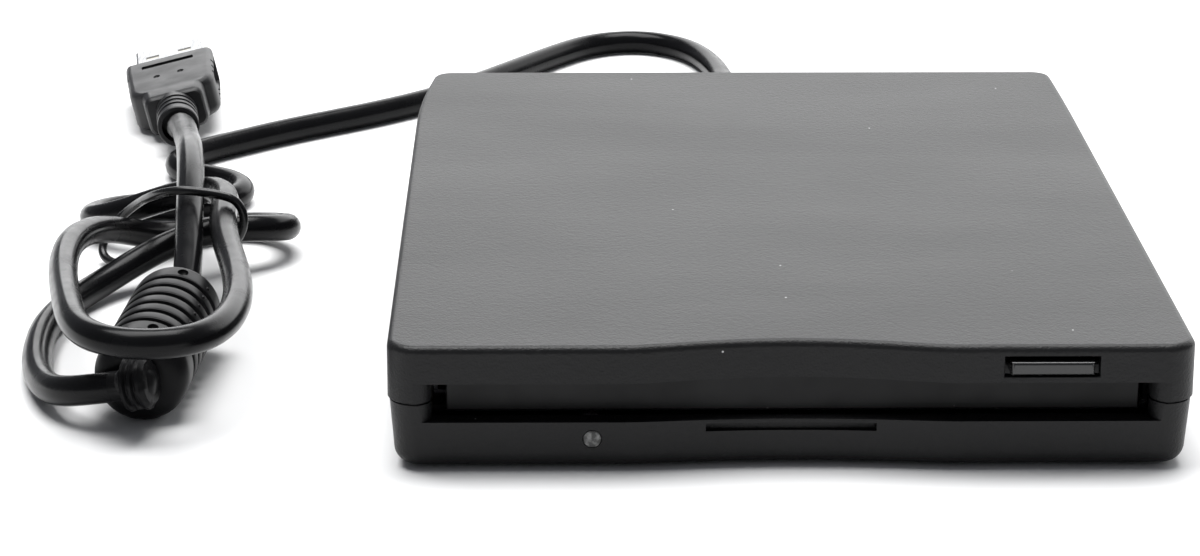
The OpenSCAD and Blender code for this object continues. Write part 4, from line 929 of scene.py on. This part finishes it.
# %% Elbow, marks and bore of the filter
def ball(centre, radii, turn=None, rings=24):
    """A ball or an egg with its own three radii, turned by a matrix."""
    turn = turn or Matrix.Identity(3)
    bm = bmesh.new()
    bmesh.ops.create_uvsphere(bm, u_segments=2 * rings, v_segments=rings, radius=1)
    for vert in bm.verts:
        stretched = Vector([c * r for c, r in zip(vert.co, radii)])
        vert.co = (Vector(centre) + turn @ stretched) * MM
    mesh = bpy.data.meshes.new("ball")
    bm.to_mesh(mesh)
    bm.free()
    return mesh


def roughened(mesh, depth, size):
    """Pushes every point in or out along its normal by a smooth noise, as on a ragged mould edge."""
    bm = bmesh.new()
    bm.from_mesh(mesh)
    bm.normal_update()
    for vert in bm.verts:
        vert.co += vert.normal * (depth * MM * noise_at(vert.co / (size * MM)))
    bm.to_mesh(mesh)
    bm.free()
    return mesh


def filter_sleeve():
    """The sleeve with its elbow, its ragged collar, two dimples and a row of pips."""
    sleeve = lathe(sleeve_profile(), FILTER_NEAR, filter_way, 96)
    neck_end = FILTER_NEAR + 2 * filter_way
    rolled = [(-5.6, 2.0), (-5.5, 2.9)]
    for along in (-4.7, -3.6, -2.5):
        rolled += [(along - 0.5, 3.1), (along - 0.25, 3.5), (along + 0.15, 3.5), (along + 0.4, 3.1)]
    rolled += [(-1.95, 2.6), (-1.9, 1.9)]
    collar = roughened(lathe(rolled, COLLAR, COLLAR_WAY, 60), 0.16, 0.9)
    neck = NECK - 0.45
    elbow = roughened(ball(ELBOW, (neck + 0.15,) * 3), 0.3, 2.2)
    inlet = rod(ELBOW, COLLAR, LEAD_DIAMETER / 2 - 0.03)
    sleeve = join(sleeve, inlet, rod(ELBOW, neck_end, neck), elbow, collar)
    across = filter_way.cross(Vector((0, 0, 1))).normalized()
    turn = Matrix((across, filter_way, Vector((0, 0, 1)))).transposed()
    lean = (Vector((0, 0, 1)) * 0.97 + across * 0.235).normalized()
    dimples = [
        ball(FILTER_NEAR + filter_way * along + lean * FILTER_RADIUS, (0.75, 1.3, 0.9), turn, 14)
        for along in (BAND - 1.2, filter_length - BAND + 0.6)]
    flank = (Vector((0, 0, 1)) * 0.62 + across * 0.78).normalized()
    pips = [
        ball(FILTER_NEAR + filter_way * (BAND + i * groove_pitch) + flank * (FILTER_RADIUS - 0.1),
             (0.32,) * 3, rings=8)
        for i in range(GROOVES + 1)]
    cap = filter_way * (FILTER_ROUND + 0.5)
    core = rod(FILTER_NEAR + cap, FILTER_FAR - cap, CORE_RADIUS)
    sleeve = cut(join(sleeve, *pips), *dimples, core)
    return piece("filter_body", sleeve, "housing", "filter_sleeve", "filter_sleeve", angle=38)


filter_body = filter_sleeve()
print("filter body:", len(filter_body.data.polygons), "faces")

# %% [markdown]
# A twist tie holds the loops together: a steel wire in a thin plastic sheath,
# bent by hand over the bundle and down under it. It is a curve like the lead,
# only thinner, so the same function makes it.

# %% Tie
TIE_ROUTE = [
    (-78.2, 77, 6.6), (-76.2, 77, 8.4), (-75.4, 77, 11.2), (-76.4, 77, 14.1), (-79.2, 77, 14.9),
    (-82, 77, 15.3), (-84.9, 77.3, 15.6), (-88, 79, 14.6), (-90.4, 83.5, 12.6), (-92, 88.5, 10.6),
    (-94.5, 92.6, 8), (-98, 93.2, 4.6), (-99, 91, 1.3), (-96.4, 88, 0.9), (-93.4, 86, 1.1)]
TIE_DIAMETER = 1.3
tie = round_cord("tie", TIE_ROUTE, TIE_DIAMETER, "housing", "wire_tie")
print("tie of", len(TIE_ROUTE), "points")

# %% [markdown]
# ### The plug
# The plug lies on the table, rolled a little by the spring of the lead. Drawing
# it at that angle would be hard. Its pieces are made level round the origin,
# and one matrix turns them all into place. They are full of rounded
# rectangles, so one function draws those at any size.

# %% Frame of the plug
PLUG_MIDDLE = placed((-95.7, 174, 5.3))
PLUG_TURN = Matrix.Rotation(math.radians(7.2), 3, "Z") @ Matrix.Rotation(math.radians(-12.8), 3, "Y")
PLUG_HALF = Vector((7.8, 13.6, 3.5))
SHELL_HALF = (6, 2.25)
SHELL_REACH = 12
SHEET = 0.3


def turned(mesh):
    """A mesh that was made level round the origin, moved to where the plug lies."""
    mesh.transform((Matrix.Translation(PLUG_MIDDLE * MM) @ PLUG_TURN.to_4x4()))
    return mesh


def rounded_ring(low, high, radius, y, steps):
    """A rounded rectangle round the plug's y axis, between two corners given as x and z."""
    left, right = low[0] + radius, high[0] - radius
    bottom, top = low[1] + radius, high[1] - radius
    centres = [(right, top, 0), (left, top, 90), (left, bottom, 180), (right, bottom, 270)]
    return [
        (x, y, z) for cx, cz, start in centres
        for x, z in arc(cx, cz, radius, start, start + 90, steps)]


def soft_block(low, high, radius, steps=5):
    """A box with all its edges rounded, as a loft of rounded rectangles along y."""
    angles = quarter(steps)
    near = [(low[1] + radius * (1 - math.cos(a)), radius * (1 - math.sin(a))) for a in angles]
    far = [(high[1] - radius * (1 - math.cos(a)), radius * (1 - math.sin(a)))
           for a in reversed(angles)]
    return loft([
        rounded_ring((low[0] + inset, low[2] + inset), (high[0] - inset, high[2] - inset),
                     max(radius - inset, 0.02), y, steps)
        for y, inset in near + far])


print("plug", *(round(2 * c, 1) for c in PLUG_HALF), "mm")

# %% [markdown]
# The grip is soft plastic moulded over the metal shell and the end of the lead.
# Its outline changes along its length, narrow at the lead and wide at the head.
# A box with rounded edges misses that, so it is lofted through stations, each
# with its place, half width, half height and corner radius.

# %% Grip of the plug
def plug_grip():
    """The moulded grip: a wide head with ears, a narrower middle behind it, and a ribbed relief."""
    w, l, h = PLUG_HALF
    stations = [
        (-l, 4.6, 2.9, 1.2), (-l + 0.35, 4.95, 3.25, 1.4), (-l + 1, 5.1, 3.45, 1.5),
        (-l + 4.6, 5.4, 3.5, 1.5), (-l + 5.4, 6.5, 3.35, 1.4), (-l + 6.6, 7.15, 3.4, 1.3),
        (-l + 8.2, 7.4, 3.45, 1.3), (l - 6, 7.8, 3.5, 1.2), (l - 1.4, 7.8, 3.5, 1.2),
        (l - 0.7, 7.55, 3.3, 1.1), (l - 0.4, 7.1, 2.95, 0.9)]
    grip = loft([
        rounded_ring((-width, -height), (width, height), radius, y, 6)
        for y, width, height, radius in stations])
    relief = [(-1.2, 0.4), (-1.2, 3.4), (-1, 3.5), (0.4, 3.5)]
    for i in range(1, 4):
        ring = i * 9.5 / 4
        relief += [(ring - 1.0, 3.5), (ring - 0.8, 2.8), (ring - 0.05, 2.8), (ring + 0.15, 3.5),
                   (ring + 0.4, 3.45)]
    relief += [(9.3, 3.5), (9.5, 3.35), (9.5, 2.75), (7.6, 2.55), (7.4, 0.4)]
    tail = lathe(relief, (0, -l, 0), (0, -1, 0), 56)
    groove = soft_block((-w + 3, l - 6.4, h - 0.6), (w - 3.4, l - 4.4, h + 1), 0.3, 3)
    flanks = [
        soft_block((side * w - 0.75, -l + 8.6, -h + 1.1), (side * w + 0.75, l - 4.2, h - 1.1), 0.5, 3)
        for side in (-1, 1)]
    ears = [
        slab((side * w - 0.5, -l + 10.4 + i * 3.2, -h - 1),
             (side * w + 0.5, -l + 11.3 + i * 3.2, h + 1))
        for side in (-1, 1) for i in range(3)]
    mouth = slab((-SHELL_HALF[0], l - 6, -SHELL_HALF[1]), (SHELL_HALF[0], l + 1, SHELL_HALF[1]))
    dimples = [ball((side * 2.1 - 0.2, l - 13.4, h), (0.6, 0.9, 0.55), rings=10) for side in (-1, 1)]
    grip = cut(join(grip, tail), groove, mouth, *flanks, *ears, *dimples)
    return piece("plug_grip", turned(grip), "housing", "plug", "plug_moulding", angle=38)


grip = plug_grip()
print("grip:", len(grip.data.polygons), "faces")

# %% [markdown]
# The metal shell is a strip of thin sheet folded round the tongue, with a butt
# seam underneath and two square windows on each broad side. Folding it from a
# flat sheet would be true to life but long. One rounded sleeve cut out of
# another gives the same even wall.

# %% Metal shell of the plug
def plug_shell():
    """The folded metal shell, open in front, with two square windows on each broad side."""
    a, c = SHELL_HALF
    l = PLUG_HALF.y
    tip = l + SHELL_REACH

    def sleeve(inset, low, high, radius):
        return loft([
            rounded_ring((-a + inset, -c + inset), (a - inset, c - inset), radius, y, 5)
            for y in (low, high)])

    shell = cut(sleeve(0, l - 6, tip, 0.5), sleeve(SHEET, l - 5, tip + 1, 0.25))
    windows = [slab((x - 1.15, tip - 7.55, z - 0.6), (x + 1.15, tip - 5.25, z + 0.6))
               for x in (-2.9, 2.9) for z in (-c, c)]
    seam = slab((-0.06, l - 7, -c - 1), (0.06, tip + 1, -c + 0.5))
    shell = turned(cut(shell, *windows, seam))
    return piece("plug_metal", shell, "housing", "plug_metal", "plug_shell")


plug_metal = plug_shell()
print("metal shell reaches", SHELL_REACH, "mm out of the grip")

# %% [markdown]
# A cord is more than its shape: it has a length, a thickness, a stiffness
# and what sits on it. The filter parts the lead in two, so there are two.

# %% The two cords
print("the lead and its end make two cords")

# %% [markdown]
# ## The rest of the finishes
# Every solid gets a finish after what it is made of. Moulded plastics share one
# recipe with different grain and gloss: rubber is the dullest of them, and the
# skin of the lead is nearly the shiniest.

# %% Plastics and rubbers
def moulded(name, color, roughness, grain=0.3, depth=0.012, specular=0.3):
    """Moulded plastic: drifting colour, uneven gloss and a fine grain."""
    material = blank(name, color, roughness, specular=specular)
    shaded(material, noise(material, 9), tint(color, 0.85), tint(color, 1.15))
    glossed(material, noise(material, 4), max(0.05, roughness - 0.05), roughness + 0.05)
    raised(material, noise(material, grain, detail=2), depth, 0.5)
    return material


door_finish = moulded("door_plastic", (0.006, 0.006, 0.0065), 0.4, grain=0.5, specular=0.2)
door_color = shaded(
    door_finish, noise(door_finish, 9), (0.005, 0.005, 0.0055), (0.0075, 0.0075, 0.008))
dusty(door_finish, door_color, cell=1.6, speck=0.09, share=0.22, dust=(0.12, 0.12, 0.12))
finishes["door"] = door_finish
finishes["button"] = case_finish("button_plastic", CHARCOAL, 0.2, grain_depth=0.004, specular=0.6)
finishes["foot_rubber"] = moulded("foot_rubber", (0.016, 0.016, 0.016), 0.75, grain=0.2, depth=0.03)
finishes["dark_plastic"] = moulded("dark_plastic", (0.02, 0.02, 0.022), 0.45)
finishes["white_plastic"] = moulded("white_plastic", (0.62, 0.6, 0.55), 0.4)
finishes["cord"] = moulded(
    "cord_pvc", (0.004, 0.004, 0.0045), 0.24, grain=1.6, depth=0.004, specular=0.12)
finishes["filter_sleeve"] = moulded(
    "filter_plastic", (0.005, 0.005, 0.0055), 0.4, grain=0.35, depth=0.012, specular=0.1)
finishes["tie"] = moulded("tie_sheath", (0.005, 0.005, 0.0055), 0.28, grain=0.8)
finishes["plug"] = moulded("plug_plastic", (0.012, 0.012, 0.013), 0.42, grain=0.3, depth=0.015)
finishes["ferrite"] = moulded("ferrite", (0.035, 0.034, 0.036), 0.6, grain=0.25, depth=0.03)
finishes["chip"] = moulded("chip_resin", (0.018, 0.018, 0.02), 0.5, grain=0.2)
finishes["board"] = moulded("board_resist", (0.02, 0.11, 0.045), 0.3, grain=1.5)
print("plastics:", len(finishes))

# %% [markdown]
# Metals are smooth but never clean. One stretched noise gives both the gloss
# and the relief of the brushing, so that they agree, and a wider one dulls the
# colour in patches.

# %% Metals
def metal(name, color, roughness, stretch=(1, 1, 1), scratch=0.3):
    """Bare metal: stretched noise makes its brushing, and a wide one makes its tarnish."""
    material = blank(name, color, roughness, metallic=1.0)
    shaded(material, noise(material, 6), tint(color, 0.8), color)
    brushed = noise(material, scratch, detail=4, stretch=stretch)
    glossed(material, brushed, max(0.08, roughness - 0.1), roughness + 0.1)
    raised(material, brushed, 0.004, 0.3)
    return material


# Colour, roughness and the way each metal is brushed.
METALS = {
    "screw_steel": ((0.25, 0.25, 0.26), 0.35),
    "spring_steel": ((0.55, 0.54, 0.52), 0.28, (1, 0.05, 1)),
    "sheet_steel": ((0.6, 0.6, 0.6), 0.36, (0.04, 1, 1)),
    "brass": ((0.8, 0.6, 0.25), 0.25),
    "motor_steel": ((0.5, 0.5, 0.5), 0.3, (1, 1, 0.1)),
    "rod_steel": ((0.7, 0.7, 0.7), 0.16, (1, 0.05, 1)),
    "plug_metal": ((0.34, 0.345, 0.355), 0.26, (1, 0.06, 1))}
for name, recipe in METALS.items():
    finishes[name] = metal(name, *recipe)
print("finishes:", len(finishes))

# %% [markdown]
# The lamp is unlit, so its lens shows as a pale mottled dot. Fully clear glass
# would turn black against the dark inside. A little transmission under a
# strongly mottled colour keeps it pale.

# %% Lamp window
def lamp_finish():
    """A frosted lens: plastic that lets little light through, with a mottled, dusty face."""
    color = (0.09, 0.09, 0.088)
    material = blank("lamp_window", color, 0.4)
    shaded(material, noise(material, 0.6), tint(color, 0.35), tint(color, 3), 0.42, 0.66)
    glossed(material, noise(material, 0.7), 0.25, 0.55)
    raised(material, noise(material, 0.4), 0.02, 0.6)
    material.node_tree.nodes["Principled BSDF"].inputs["Transmission Weight"].default_value = 0.2
    return material


finishes["lamp_window"] = lamp_finish()
print("lamp finish ready")

# %% [markdown]
# The frame's record names a finish for each solid, so one loop can dress all
# the inner parts, and a second one the pieces of this notebook.

# %% Dressing every part
def dress(obj, finish):
    obj.data.materials.clear()
    obj.data.materials.append(finish)


for part in frame["record"]["subparts"]:
    dress(frame["nodes"][part["node"]], finishes[part["material_slot"]])
outer = {
    "case": [case_top, case_base], "door": [door_flap], "button": [button], "lamp_window": [lamp],
    "cord": [lead, lead_end, gland], "filter_sleeve": [filter_body], "tie": [tie], "plug": [grip],
    "plug_metal": [plug_metal]}
for finish, pieces in outer.items():
    for obj in pieces:
        dress(obj, finishes[finish])
print("dressed", len(frame["nodes"]), "solids and", sum(len(p) for p in outer.values()), "pieces")

# %% [markdown]
# ## The table
# The object lies on white card. A plane would do, but a thin sheet with its top
# just under the lowest foot leaves no doubt which side the light falls on.

# %% Card
CARD_HALF = 3000
CARD_TOP = -0.02
CARD_BOTTOM = -2


def card():
    """The white card under the object: a wide sheet with a trace of paper grain."""
    color = (0.86, 0.86, 0.86)
    material = blank("card", color, 0.9)
    shaded(material, noise(material, 60), tint(color, 0.985), color)
    raised(material, noise(material, 0.5), 0.01, 0.2)
    mesh = slab((-CARD_HALF, -CARD_HALF, CARD_BOTTOM), (CARD_HALF, CARD_HALF, CARD_TOP))
    mesh.materials.append(material)
    sheet = bpy.data.objects.new("card", mesh)
    bpy.context.scene.collection.objects.link(sheet)


card()
print("card laid")

# %% [markdown]
# ## The light
# A large panel hangs overhead and a second one stands low behind the case. The
# second one matters most: the lid is seen at a grazing angle, and its grain
# turns that panel into the grey sheen on top, while the front of the case,
# which faces away from it, stays nearly black.

# %% Lights
def panel(name, place, target, size, glow):
    """A soft panel light with a given glow, aimed at a point. All lengths are in metres."""
    light = bpy.data.lights.new(name, "AREA")
    light.shape = "RECTANGLE"
    light.size, light.size_y = size
    light.energy = glow * math.pi * size[0] * size[1]
    obj = bpy.data.objects.new(name, light)
    obj.location = place
    obj.rotation_euler = (Vector(target) - Vector(place)).to_track_quat("-Z", "Y").to_euler()
    bpy.context.scene.collection.objects.link(obj)


panel("overhead", (-0.1, 0.3, 1.4), (0, 0.05, 0), (1.4, 1.0), 9.5)
panel("behind", (0.45, 1.3, 0.5), (0, 0.1, 0), (2.2, 0.9), 2.5)

world = bpy.data.worlds.new("room")
world.use_nodes = True
background = world.node_tree.nodes["Background"]
background.inputs["Color"].default_value = (0.9, 0.93, 1.0, 1)
background.inputs["Strength"].default_value = 0.2
bpy.context.scene.world = world
bpy.context.scene.view_settings.view_transform = "Standard"
print("two panels and a dim room")

# %% [markdown]
# A cord's control points lie a little outside its bends, so a box taken
# from them can come out some 2 mm deeper than the object is.

# %% The end
print("the scene is built")
